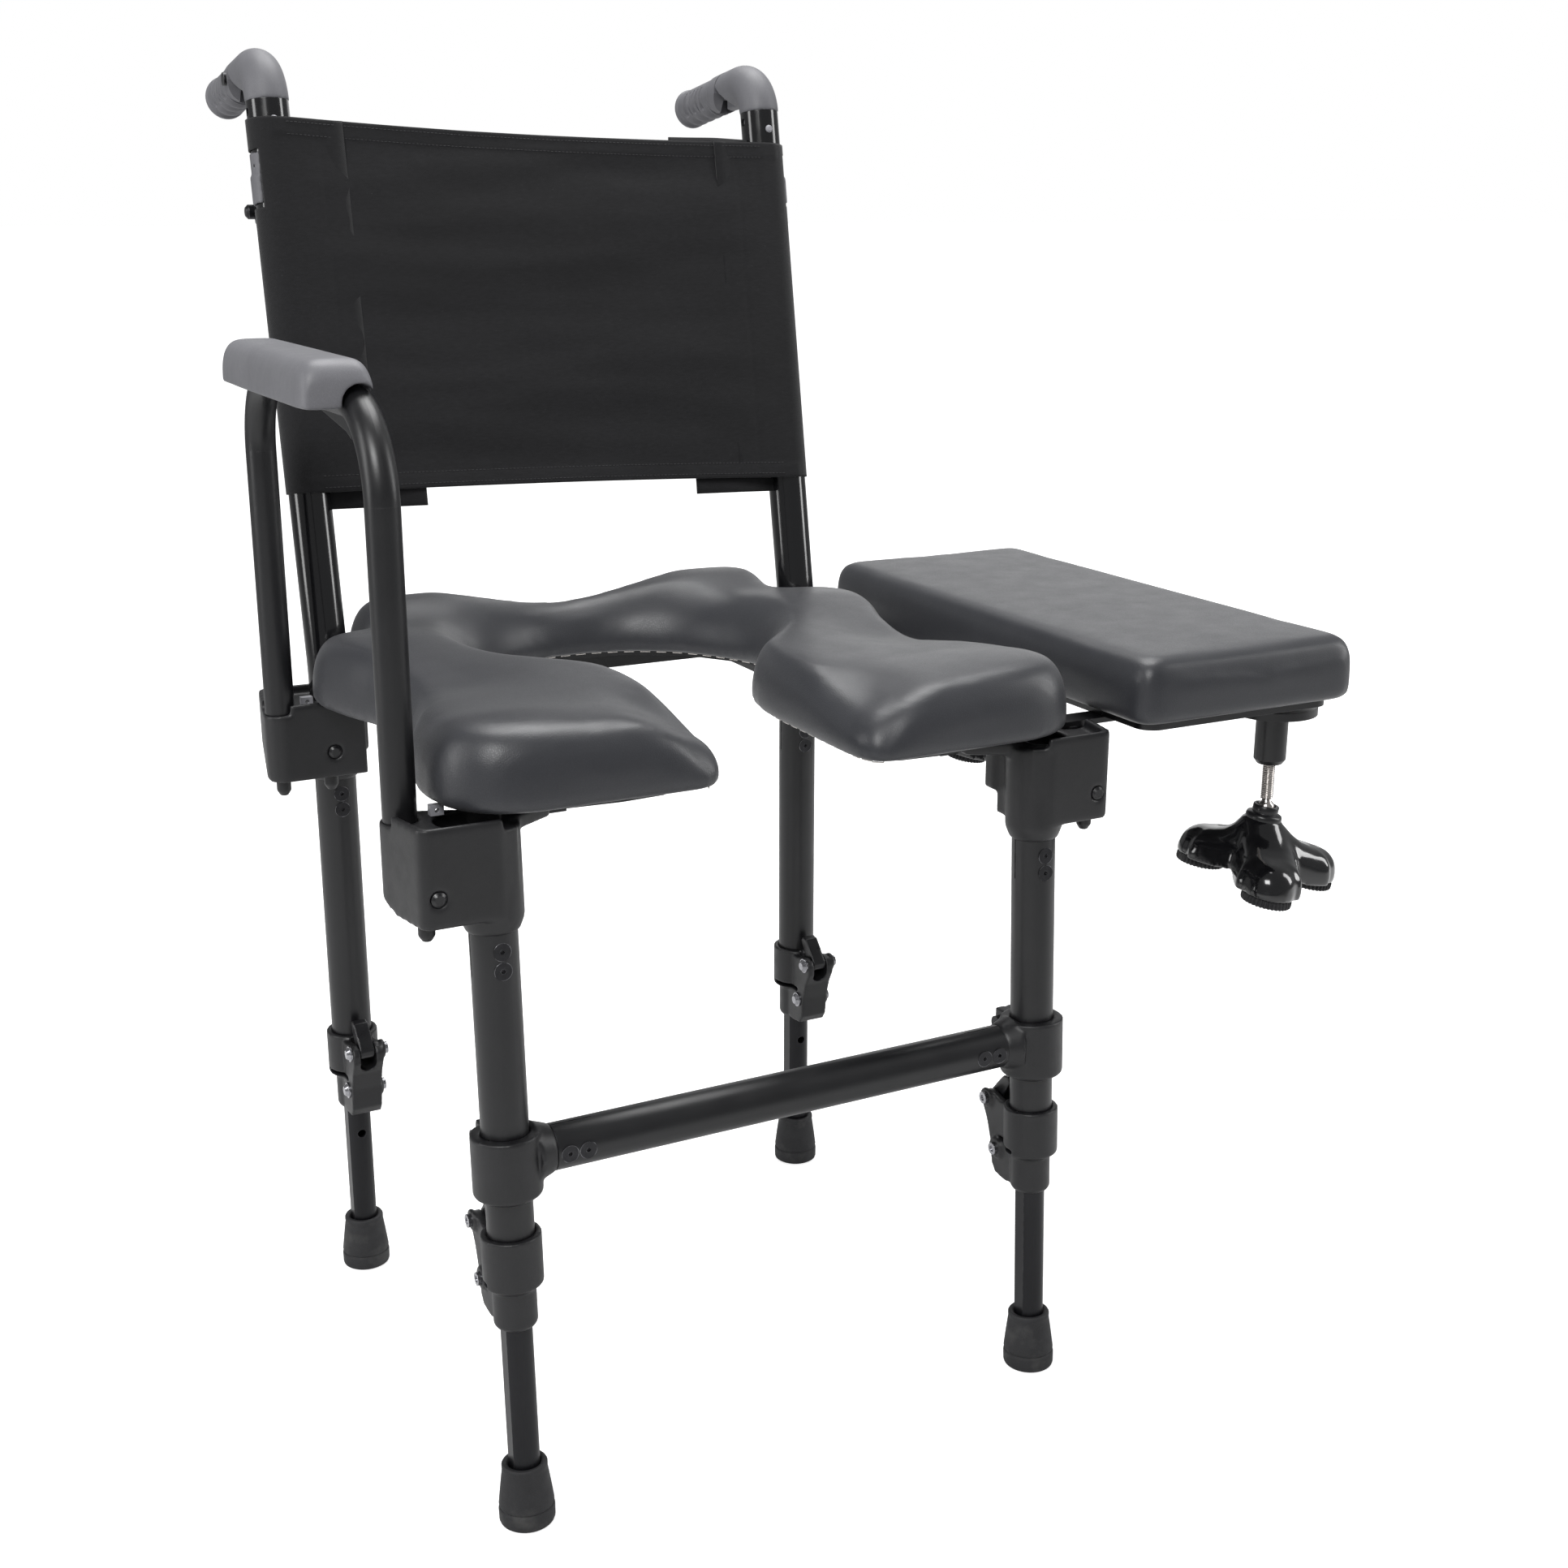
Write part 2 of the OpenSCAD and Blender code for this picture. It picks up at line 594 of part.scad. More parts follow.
module back_tube(side) color(tube_black) at_side(side) difference() {
    union() {
        translate([0, leg_y, back_tube_z])
            cylinder(r = tube_r, h = back_bend_z - back_tube_z - back_bend_run);
        yz_bend(leg_y + back_bend_r, back_bend_z - back_bend_run, back_bend_r, tube_r,
            180 - back_lean, 180);
        back_frame() translate([0, 0, back_bend_run])
            cylinder(r = tube_r, h = back_len - back_bend_run);
    }
    back_frame() {
        translate([0, 0, 60]) cylinder(r = bore_r, h = back_len - 40);
        // snap button and handle holes
        translate([0, 0, snap_z]) y_rod(snap_r + clearance, -20, 0);
        translate([0, 0, back_len - 8]) x_rod(3.2, -20, 0);
    }
}
module snap_button(side) color([0.6, 0.6, 0.62])
    at_side(side) back_frame() translate([0, 0, snap_z]) {
        y_rod(snap_r, -tube_r - 0.6, -tube_r + 5);
        y_cone(1.8, snap_r, -tube_r - 2, 1.4 + overlap);
    }

brace_z = 368;                  // along the back tube from its bend
brace_elbow_r = 8.5;
brace_bend_r = 16;
brace_bend_y = tube_r + 6;      // centre of the elbow's bend
brace_y = brace_bend_y + brace_bend_r;  // axis of collars and spreader bar
spreader_z = -11;               // spreader bar, from brace_z
bolt_r = 3;

module brace_end() {
    // saddle clip and sheath round the tube
    translate([0, 0, -12]) cylinder(r = tube_r + 2.4, h = 21);
    translate([0, 0, 9 - overlap]) cylinder(r = tube_r + 1.2, h = 17);
    // elbow from the sheath to the collar
    translate([0, 0, 4 + brace_bend_r]) y_rod(brace_elbow_r, 8, brace_bend_y + 0.5);
    yz_bend(brace_bend_y, 4, brace_bend_r, brace_elbow_r, 0, 90);
    translate([0, brace_y, -20]) cylinder(r = 9.6, h = 22);
    translate([0, brace_y, 1.5]) cylinder(r = 9, h = 3.2);
}
module back_brace() color([0.42, 0.42, 0.45]) back_frame() translate([0, 0, brace_z]) difference() {
    union() {
        for (side = [-1, 1]) at_side(side) brace_end();
        translate([0, brace_y, spreader_z]) x_rod(8, -leg_x, leg_x);
    }
    for (side = [-1, 1])
        at_side(side) translate([0, 0, -30]) cylinder(r = tube_r + clearance, h = 90);
    // each clip is open towards the front, where the fabric passes
    translate([-leg_x - 30, -40, -30]) cube([2 * leg_x + 60, 29.4, 90]);
    // hollow of the spreader bar, holes under it and bolt holes
    translate([0, brace_y, spreader_z]) x_rod(6.4, -leg_x + 12, leg_x - 12);
    for (side = [-1, 1]) {
        translate([side * (leg_x - 30), brace_y, -25]) cylinder(r = 2, h = 14);
        translate([side * (leg_x + 6), brace_y, spreader_z]) x_rod(bolt_r + clearance, -5, 5);
    }
}

// Bolts through the brace's collars and the handles' fold pivots, heads outboard
module back_bolts() color([0.3, 0.3, 0.31]) for (side = [-1, 1]) at_side(side) {
    back_frame() translate([0, brace_y, brace_z + spreader_z]) x_flip(side) {
        x_rod(bolt_r, 2, 11);
        x_rod(5.5, 10, 14.5);
        x_cone(5.5, 3.5, 14.5 - overlap, 2);
    }
    grip_frame() x_flip(side) {
        x_rod(bolt_r, -12, 12);
        x_rod(5, 15.6, 18.2);
        x_rod(bolt_r, 11, 15.8);
    }
}

// Fabric: a panel in front of the tubes and a sleeve round each one,
// cut away round the saddle clips
sling_z = 131;                  // along the back tube from its bend
sling_h = 280;
module back_sling() color([0.14, 0.14, 0.15]) back_frame() difference() {
    translate([0, 0, sling_z]) {
        translate([-leg_x, -tube_r - 1.7, 0]) cube([2 * leg_x, 1.6, sling_h]);
        for (side = [-1, 1]) at_side(side) cylinder(r = tube_r + 1.7, h = sling_h);
    }
    for (side = [-1, 1]) at_side(side) {
        translate([0, 0, sling_z - 10]) cylinder(r = tube_r + clearance, h = sling_h + 20);
        translate([-30, -11, brace_z - 15.5]) cube([60, 50, 44]);
    }
}

// ---------- push handles ----------
elbow_r = 28;                    // bend radius
sheath_r = 16.5;                 // radius of the elbow's sheath
grip_droop = 8.5;                // the grips point this far below the horizontal
elbow_turn = 90 - back_lean + grip_droop;
stub = 30;                       // straight length from the bend to the fold pivot
fold_gap = 8.2;                  // from the fold pivot back to the elbow's face
tongue_w = 10;
grip_len = 72;

// Origin at the end of the back tube
module tube_end_frame() back_frame() translate([0, 0, back_len + clearance]) children();
// Frame of the fold pivot: local +Y runs along the grip
module grip_frame() {
    tube_end_frame() translate([0, elbow_r, 0]) rotate([90 - elbow_turn, 0, 0])
        translate([0, stub, elbow_r]) children();
}
module handle_elbow(side) color(handle_grey) at_side(side) difference() {
    union() {
        tube_end_frame() {
            // plug inside the back tube
            translate([0, 0, -10]) cylinder(r = bore_r - clearance, h = 11);
            // bend, trimmed at the tube's end
            difference() {
                yz_bend(elbow_r, 0, elbow_r, sheath_r, 180 - elbow_turn, 180);
                translate([-30, -30, -10]) cube([60, 60, 10]);
            }
        }
        grip_frame() {
            y_rod(sheath_r, -stub - overlap, -fold_gap);
            // hinge tongue
            translate([-tongue_w / 2, -fold_gap - 4, -6]) cube([tongue_w, fold_gap + 4, 12]);
            x_rod(6, -tongue_w / 2, tongue_w / 2);
        }
    }
    // notch under the end that the grip's root folds into, on both sides of the tongue
    grip_frame() for (x = [-25, 5])
        yz_plate([[-fold_gap - 1, 2], [0, 2], [0, -30], [-34, -30], [-22, -10]], x, x + 20);
    grip_frame() x_rod(bolt_r + clearance, -20, 20);
}
module handle_grip(side) color(handle_grey) at_side(side) grip_frame() difference() {
    union() {
        y_rod(15.5, -fold_gap + 0.6, grip_len);
        y_cone(16.5, 15, grip_len - overlap, 4);
    }
    // room for the tongue
    translate([-tongue_w / 2 - 0.2, -20, -18]) cube([tongue_w + 0.4, 29, 24.4]);
    // chamfer under the root
    yz_plate([[-fold_gap, -1], [-fold_gap + 0.6, -1], [7, -17], [-fold_gap, -17]], -20, 20);
    x_rod(bolt_r + clearance, -20, 20);
    // finger grooves
    for (k = [0:2]) translate([0, 24 + 16 * k, -17.5]) x_rod(4.5, -20, 20);
}

bracket(FL);  // bracket_front_left
bracket(FR);  // bracket_front_right
bracket(RL);  // bracket_rear_left
bracket(RR);  // bracket_rear_right
seat_rails();
upper_leg(FL);  // upper_leg_front_left
upper_leg(FR);  // upper_leg_front_right
upper_leg(RL);  // upper_leg_rear_left
upper_leg(RR);  // upper_leg_rear_right
tee_clamp(FL);  // tee_clamp_left
tee_clamp(FR);  // tee_clamp_right
crossbar();
countersunk_screws();
tee_pinch_bolts();
height_clamp(FL);  // height_clamp_front_left
height_clamp(FR);  // height_clamp_front_right
height_clamp(RL);  // height_clamp_rear_left
height_clamp(RR);  // height_clamp_rear_right
clamp_bolts();
lower_leg(FL);  // lower_leg_front_left
lower_leg(FR);  // lower_leg_front_right
lower_leg(RL);  // lower_leg_rear_left
lower_leg(RR);  // lower_leg_rear_right
foot_tip(FL);  // foot_tip_front_left
foot_tip(FR);  // foot_tip_front_right
foot_tip(RL);  // foot_tip_rear_left
foot_tip(RR);  // foot_tip_rear_right
clamp_lever(FL);  // clamp_lever_front_left
clamp_lever(FR);  // clamp_lever_front_right
clamp_lever(RL);  // clamp_lever_rear_left
clamp_lever(RR);  // clamp_lever_rear_right
arm_tube();
arm_pad();
release_button(FL);  // release_button_front_left
release_button(FR);  // release_button_front_right
release_button(RL);  // release_button_rear_left
release_button(RR);  // release_button_rear_right
latch_tabs();
seat_board();
seat_cushion();
seat_clips();
transfer_board_base();
transfer_pad();
board_hanger();
leg_sleeves();
leveling_rod(-1);  // leveling_rod_front
leveling_rod(1);  // leveling_rod_rear
tripod_foot(-1);  // tripod_foot_front
tripod_foot(1);  // tripod_foot_rear
back_tube(-1);  // back_tube_left
back_tube(1);  // back_tube_right
back_brace();
back_sling();
handle_elbow(-1);  // handle_elbow_left
handle_elbow(1);  // handle_elbow_right
handle_grip(-1);  // handle_grip_left
handle_grip(1);  // handle_grip_right
back_bolts();
snap_button(-1);  // snap_button_left
snap_button(1);  // snap_button_right
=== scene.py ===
"""A folding chair on four tubular legs: a cushion with an opening at the front, a fabric back, an
arm pad, a side transfer pad, two folding hand grips and two tripod feet on threaded rods.

Metres, +Z up, the floor at z = 0. The front of the chair faces -Y and its left side is at -X.
"""

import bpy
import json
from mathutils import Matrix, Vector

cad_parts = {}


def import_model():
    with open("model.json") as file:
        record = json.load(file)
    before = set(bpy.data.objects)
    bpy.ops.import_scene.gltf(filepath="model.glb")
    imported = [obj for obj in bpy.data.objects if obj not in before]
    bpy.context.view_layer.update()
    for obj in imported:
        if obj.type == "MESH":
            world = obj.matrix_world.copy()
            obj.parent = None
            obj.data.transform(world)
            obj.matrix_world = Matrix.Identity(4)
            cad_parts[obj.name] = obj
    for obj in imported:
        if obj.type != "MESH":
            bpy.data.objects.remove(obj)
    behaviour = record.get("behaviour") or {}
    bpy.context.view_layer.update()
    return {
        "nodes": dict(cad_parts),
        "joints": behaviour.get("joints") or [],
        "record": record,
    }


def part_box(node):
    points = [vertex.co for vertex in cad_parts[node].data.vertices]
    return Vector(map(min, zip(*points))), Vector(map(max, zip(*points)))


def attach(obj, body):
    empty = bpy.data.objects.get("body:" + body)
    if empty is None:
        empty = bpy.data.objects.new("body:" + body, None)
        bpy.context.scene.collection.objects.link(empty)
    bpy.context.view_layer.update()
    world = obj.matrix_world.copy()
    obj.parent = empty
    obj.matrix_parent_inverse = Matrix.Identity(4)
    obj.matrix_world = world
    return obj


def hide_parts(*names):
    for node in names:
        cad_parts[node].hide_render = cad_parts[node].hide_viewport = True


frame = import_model()

import json
import math
import bpy
import bmesh
import numpy as np
from mathutils import Matrix, Vector, noise

scene = bpy.context.scene
NODES = frame["nodes"]
JOINTS = {joint["name"]: joint for joint in frame["joints"]}
BODY = {node: body for body, nodes in frame["record"]["behaviour"]["bodies"].items()
        for node in nodes}
SLOT = {part["node"]: part["material_slot"] for part in frame["record"]["subparts"]}
LEGS = {"front_left": "fl", "front_right": "fr", "rear_left": "rl", "rear_right": "rr"}
SIDES = ("left", "right")
MM = 0.001

POST_X = 0.209                    # legs and back tubes stand this far either side of the middle
POST_Y = 0.185                    # and this far in front of or behind it
LEG_TOP = 0.4288
TUBE_R = 0.016
OUTER_BORE, INNER_BORE = 0.01605, 0.01115      # bores for the wide and the narrow leg tube


# ------------------------------------------------------------------ meshes
def mesh_obj(name, verts, faces, smooth=True, sharp=None):
    """A linked mesh object; edges steeper than sharp degrees stay crisp."""
    me = bpy.data.meshes.new(name)
    me.from_pydata([tuple(map(float, v)) for v in verts], [],
                   [tuple(int(i) for i in f) for f in faces])
    me.validate()
    me.update()
    if smooth:
        me.polygons.foreach_set("use_smooth", [True] * len(me.polygons))
    if sharp:
        me.set_sharp_from_angle(angle=math.radians(sharp))
    return link_mesh(name, me)


def link_mesh(name, me):
    ob = bpy.data.objects.new(name, me)
    scene.collection.objects.link(ob)
    return ob


def box_obj(name, xs, ys, zs, smooth=True):
    """A box between pairs of x, y and z."""
    faces = [(0, 1, 3, 2), (4, 6, 7, 5), (0, 4, 5, 1), (2, 3, 7, 6), (0, 2, 6, 4), (1, 5, 7, 3)]
    return mesh_obj(name, [(x, y, z) for x in xs for y in ys for z in zs], faces, smooth)


def get_v(ob):
    co = np.empty(len(ob.data.vertices) * 3)
    ob.data.vertices.foreach_get("co", co)
    return co.reshape(-1, 3)


def set_v(ob, co):
    ob.data.vertices.foreach_set("co", np.ascontiguousarray(co, dtype=float).ravel())
    ob.data.update()


def bake(ob):
    """Replaces the mesh by its modified shape, smooth shaded."""
    bpy.context.view_layer.update()
    graph = bpy.context.evaluated_depsgraph_get()
    me = bpy.data.meshes.new_from_object(ob.evaluated_get(graph), depsgraph=graph)
    old = ob.data
    ob.modifiers.clear()
    ob.data = me
    me.name = ob.name
    me.polygons.foreach_set("use_smooth", [True] * len(me.polygons))
    if old.users == 0:
        bpy.data.meshes.remove(old)


def modify(ob, kind, **settings):
    """Adds one modifier and bakes it in."""
    modifier = ob.modifiers.new("m", kind)
    for name, value in settings.items():
        setattr(modifier, name, value)
    bake(ob)


def remesh(ob, voxel):
    modify(ob, "REMESH", mode="VOXEL", voxel_size=voxel, use_smooth_shade=True)


def smooth(ob, iterations, factor=0.5):
    modify(ob, "SMOOTH", factor=factor, iterations=iterations)


def subdivide(ob):
    modify(ob, "SUBSURF", levels=1, render_levels=1)


def thicken(ob, thickness):
    modify(ob, "SOLIDIFY", thickness=thickness, offset=0)


def edit(ob, operate):
    """Runs operate on the object's mesh as a bmesh."""
    bm = bmesh.new()
    bm.from_mesh(ob.data)
    operate(bm)
    bm.to_mesh(ob.data)
    bm.free()


def face_outward(ob):
    edit(ob, lambda bm: bmesh.ops.recalc_face_normals(bm, faces=bm.faces))


def carve(ob, *cutters):
    """Cuts each cutter out of the object and removes it."""
    for cutter in cutters:
        face_outward(cutter)
        modify(ob, "BOOLEAN", operation="DIFFERENCE", object=cutter, solver="EXACT")
        bpy.data.objects.remove(cutter)


class Build:
    """Collects parts of one mesh."""

    def __init__(self):
        self.v, self.f = [], []

    def add(self, verts, faces):
        start = len(self.v)
        self.v.extend([tuple(map(float, p)) for p in verts])
        self.f.extend([tuple(i + start for i in f) for f in faces])
        return self

    def revolve(self, profile, n, matrix=Matrix.Identity(4)):
        """profile: (radius, height) pairs about local Z; a radius of 0 is a pole."""
        rings, verts, faces = [], [], []
        for r, z in profile:
            if r < 1e-7:
                rings.append([len(verts)])
                verts.append(matrix @ Vector((0, 0, z)))
            else:
                rings.append(list(range(len(verts), len(verts) + n)))
                for k in range(n):
                    a = 2 * math.pi * k / n
                    verts.append(matrix @ Vector((r * math.cos(a), r * math.sin(a), z)))
        for a, b in zip(rings[:-1], rings[1:]):
            for k in range(n):
                k2 = (k + 1) % n
                if len(a) == 1:
                    faces.append((a[0], b[k2], b[k]))
                elif len(b) == 1:
                    faces.append((a[k], a[k2], b[0]))
                else:
                    faces.append((a[k], a[k2], b[k2], b[k]))
        return self.add(verts, faces)

    def grid(self, rows, close_v=False, flip=False):
        """rows[u][v] are points; close_v joins the end of each row to its start."""
        rows = np.asarray(rows, dtype=float)
        nu, nv = rows.shape[:2]
        faces = []
        for i in range(nu - 1):
            for j in range(nv if close_v else nv - 1):
                j2 = (j + 1) % nv
                a, b, c, d = i * nv + j, (i + 1) * nv + j, (i + 1) * nv + j2, i * nv + j2
                faces.append((a, d, c, b) if flip else (a, b, c, d))
        return self.add(rows.reshape(-1, 3), faces)

    def fan(self, centre, start, count, flip=False):
        """Closes the ring of count vertices from start with triangles to a centre."""
        tip = len(self.v)
        self.v.append(tuple(centre))
        for i in range(count):
            a, b = start + i, start + (i + 1) % count
            self.f.append((tip, b, a) if flip else (tip, a, b))

    def loft(self, rings):
        """A closed skin through rings, with one flat face at each end."""
        start, n = len(self.v), len(rings[0])
        self.grid(rings, close_v=True)
        end = len(self.v)
        self.f.append(tuple(range(start, start + n)))
        self.f.append(tuple(range(end - 1, end - 1 - n, -1)))

    def tube(self, path, radius, n):
        """A round tube through points; the path starts along Z."""
        path = [Vector(p) for p in path]
        last = len(path) - 1
        x = Vector((1, 0, 0)).cross((path[1] - path[0]).normalized()).normalized()
        rings = []
        for i, p in enumerate(path):
            t = (path[min(i + 1, last)] - path[max(i - 1, 0)]).normalized()
            x = (x - t * x.dot(t)).normalized()
            y = t.cross(x)
            angles = [2 * math.pi * k / n for k in range(n)]
            rings.append([tuple(p + (x * math.cos(a) + y * math.sin(a)) * radius)
                          for a in angles])
        start = len(self.v)
        self.grid(rings, close_v=True)
        self.fan(path[0], start, n)
        self.fan(path[-1], start + n * last, n, flip=True)

    def obj(self, name, sharp=None):
        return mesh_obj(name, self.v, self.f, sharp=sharp)


def prism(name, outline, z0, z1):
    """An upright solid over a closed (x, y) outline."""
    bm = bmesh.new()
    low = [bm.verts.new((x, y, z0)) for x, y in outline]
    high = [bm.verts.new((x, y, z1)) for x, y in outline]
    n = len(outline)
    for i in range(n):
        j = (i + 1) % n
        bm.faces.new((low[i], low[j], high[j], high[i]))
    bm.faces.new(low[::-1])
    bm.faces.new(high)
    bmesh.ops.triangulate(bm, faces=[f for f in bm.faces if len(f.verts) > 4])
    bmesh.ops.recalc_face_normals(bm, faces=bm.faces)
    me = bpy.data.meshes.new(name)
    bm.to_mesh(me)
    bm.free()
    return link_mesh(name, me)


# ------------------------------------------------------------------ curves and fields
def axes_matrix(origin, x, y, z):
    m = Matrix.Identity(4)
    for column, vector in enumerate((x, y, z, origin)):
        for row in range(3):
            m[row][column] = vector[row]
    return m


def catmull(points, steps):
    """A closed Catmull-Rom curve with so many steps to a span."""
    p = np.asarray(points, dtype=float)
    n = len(p)
    out = []
    for i in range(n):
        p0, p1, p2, p3 = p[(i - 1) % n], p[i], p[(i + 1) % n], p[(i + 2) % n]
        for k in range(steps):
            t = k / steps
            out.append(0.5 * (2 * p1 + (p2 - p0) * t + (2 * p0 - 5 * p1 + 4 * p2 - p3) * t * t
                              + (3 * p1 - p0 - 3 * p2 + p3) * t ** 3))
    return np.array(out)


def rounded_rect(x0, y0, x1, y1, r, steps=10):
    corners = ((x1 - r, y0 + r, -90), (x1 - r, y1 - r, 0), (x0 + r, y1 - r, 90),
               (x0 + r, y0 + r, 180))
    points = []
    for cx, cy, first in corners:
        for k in range(steps + 1):
            a = math.radians(first + 90 * k / steps)
            points.append([cx + r * math.cos(a), cy + r * math.sin(a)])
    return np.array(points)


def dist_to(points, chain, closed=False):
    """Distance from 2D points to a polyline."""
    starts = chain if closed else chain[:-1]
    ends = np.roll(chain, -1, axis=0) if closed else chain[1:]
    best = np.full(len(points), 1e9)
    for a, b in zip(starts, ends):
        ab = b - a
        t = np.clip(((points - a) @ ab) / max(ab @ ab, 1e-12), 0, 1)
        best = np.minimum(best, np.linalg.norm(points - (a + t[:, None] * ab), axis=1))
    return best


def rise(x, start, end):
    """Goes smoothly from 0 at start to 1 at end."""
    t = np.clip((x - start) / (end - start), 0, 1)
    return t * t * (3 - 2 * t)


def bell(x, centre, width):
    return np.exp(-(((x - centre) / width) ** 2))


def dome(t, power, root):
    """Rises from 0 to 1 like a rounded edge as t goes from 0 to 1."""
    return (1 - (1 - t) ** power) ** root


def signed_power(value, power):
    """Squares off a sine or cosine when power is below 1."""
    return math.copysign(abs(value) ** power, value)


def circle_angles(n):
    return np.linspace(0, 2 * math.pi, n + 1)[:-1]


def fractal(points, scale, seed, octaves):
    """Smooth noise at each point, scaled along each axis."""
    out = np.empty(len(points))
    for i, p in enumerate(points):
        at = (p[0] * scale[0] + seed, p[1] * scale[1] - seed, p[2] * scale[2] + 2 * seed)
        out[i] = noise.fractal(Vector(at), 1.0, 2.0, octaves)
    return out


def puff(ob, cap, weight, frames=20):
    """Inflates a cushion with a short cloth run and keeps each point within cap of its place."""
    rest = get_v(ob)
    modifier = ob.modifiers.new("cloth", "CLOTH")
    cloth = modifier.settings
    cloth.use_pressure = True
    cloth.uniform_pressure_force = 4.0
    cloth.quality = 4
    cloth.mass = 0.4
    cloth.tension_stiffness = cloth.compression_stiffness = 20
    cloth.shear_stiffness = 10
    cloth.bending_stiffness = 2
    cloth.effector_weights.gravity = 0
    modifier.collision_settings.use_collision = False
    modifier.point_cache.frame_start = 1
    modifier.point_cache.frame_end = frames
    for f in range(1, frames + 1):
        scene.frame_set(f)
    new = get_v(ob.evaluated_get(bpy.context.evaluated_depsgraph_get()))
    ob.modifiers.clear()
    scene.frame_set(1)
    move = new - rest
    length = np.linalg.norm(move, axis=1)
    move *= np.minimum(1, cap / np.maximum(length, 1e-9))[:, None]
    move *= weight[:, None]
    set_v(ob, rest + move)


# ------------------------------------------------------------------ materials
def linear(code):
    """Linear RGBA from an sRGB hex code."""
    out = []
    for k in (1, 3, 5):
        c = int(code[k:k + 2], 16) / 255
        out.append(c / 12.92 if c <= 0.04045 else ((c + 0.055) / 1.055) ** 2.4)
    return tuple(out) + (1,)


class Mat:
    """A principled material whose colour, roughness and normal grow step by step."""

    def __init__(self, name, color, roughness, metallic=0.0, specular=0.5):
        self.material = bpy.data.materials.new(name)
        self.material.use_nodes = True
        self.tree = self.material.node_tree
        self.tree.nodes.clear()
        output = self.node("ShaderNodeOutputMaterial")
        self.bsdf = self.node("ShaderNodeBsdfPrincipled")
        self.link(self.bsdf.outputs[0], output.inputs[0])
        self.coord = self.node("ShaderNodeTexCoord").outputs["Object"]
        self.bsdf.inputs["Roughness"].default_value = roughness
        self.bsdf.inputs["Metallic"].default_value = metallic
        self.bsdf.inputs["Specular IOR Level"].default_value = specular
        self.color = self.constant("ShaderNodeRGB", color)
        self.rough = self.constant("ShaderNodeValue", roughness)
        self.normal = None

    def node(self, kind, **settings):
        node = self.tree.nodes.new(kind)
        for name, value in settings.items():
            setattr(node, name, value)
        return node

    def link(self, source, target):
        self.tree.links.new(source, target)

    def constant(self, kind, value):
        output = self.node(kind).outputs[0]
        output.default_value = value
        return output

    def noise(self, scale, detail, roughness=0.55, stretch=None):
        node = self.node("ShaderNodeTexNoise")
        node.inputs["Scale"].default_value = scale
        node.inputs["Detail"].default_value = detail
        node.inputs["Roughness"].default_value = roughness
        place = self.coord
        if stretch:
            mapping = self.node("ShaderNodeMapping")
            mapping.inputs["Scale"].default_value = stretch
            self.link(self.coord, mapping.inputs["Vector"])
            place = mapping.outputs[0]
        self.link(place, node.inputs["Vector"])
        return node.outputs["Fac"]

    def ramp(self, factor, start, end, low=0.0, high=1.0):
        """Maps start..end to low..high."""
        node = self.node("ShaderNodeMapRange")
        node.inputs["From Min"].default_value = start
        node.inputs["From Max"].default_value = end
        node.inputs["To Min"].default_value = low
        node.inputs["To Max"].default_value = high
        self.link(factor, node.inputs["Value"])
        return node.outputs["Result"]

    def math(self, operation, *values):
        node = self.node("ShaderNodeMath", operation=operation)
        for i, value in enumerate(values):
            if isinstance(value, (int, float)):
                node.inputs[i].default_value = value
            else:
                self.link(value, node.inputs[i])
        return node.outputs[0]

    def tint(self, factor, low, high):
        """Multiplies the colour by low at factor 0 and high at factor 1."""
        gain = self.ramp(factor, 0.0, 1.0, low, high)
        node = self.node("ShaderNodeVectorMath", operation="SCALE")
        self.link(self.color, node.inputs[0])
        self.link(gain, node.inputs["Scale"])
        self.color = node.outputs[0]

    def toward(self, factor, color):
        node = self.node("ShaderNodeMix", data_type="RGBA")
        self.link(factor, node.inputs["Factor"])
        self.link(self.color, node.inputs["A"])
        node.inputs["B"].default_value = color
        self.color = node.outputs["Result"]

    def speckle(self, scale, detail, start, end, low, high):
        """Tints by noise between start and end."""
        self.tint(self.ramp(self.noise(scale, detail), start, end), low, high)

    def vary(self, scale, low, high):
        self.speckle(scale, 4, 0.3, 0.7, low, high)

    def dust(self, scale, start, end, amount, color, detail=5):
        """Mixes in a colour where the noise passes start."""
        self.toward(self.ramp(self.noise(scale, detail), start, end, 0.0, amount),
                    linear(color))

    def rough_by(self, factor, low, high):
        change = self.ramp(factor, 0.25, 0.75, low, high)
        self.rough = self.math("ADD", self.rough, change)

    def smudge(self, scale, detail, low, high):
        """Changes the roughness by noise."""
        self.rough_by(self.noise(scale, detail), low, high)

    def bump(self, height, strength, depth):
        node = self.node("ShaderNodeBump")
        node.inputs["Strength"].default_value = strength
        node.inputs["Distance"].default_value = depth
        self.link(height, node.inputs["Height"])
        if self.normal is not None:
            self.link(self.normal, node.inputs["Normal"])
        self.normal = node.outputs[0]

    def grain(self, scale, detail, strength, depth):
        """Bumps by noise."""
        self.bump(self.noise(scale, detail), strength, depth)

    def bevel(self, radius):
        node = self.node("ShaderNodeBevel", samples=4)
        node.inputs["Radius"].default_value = radius
        return node.outputs[0]

    def soft_edges(self, radius):
        self.normal = self.bevel(radius)

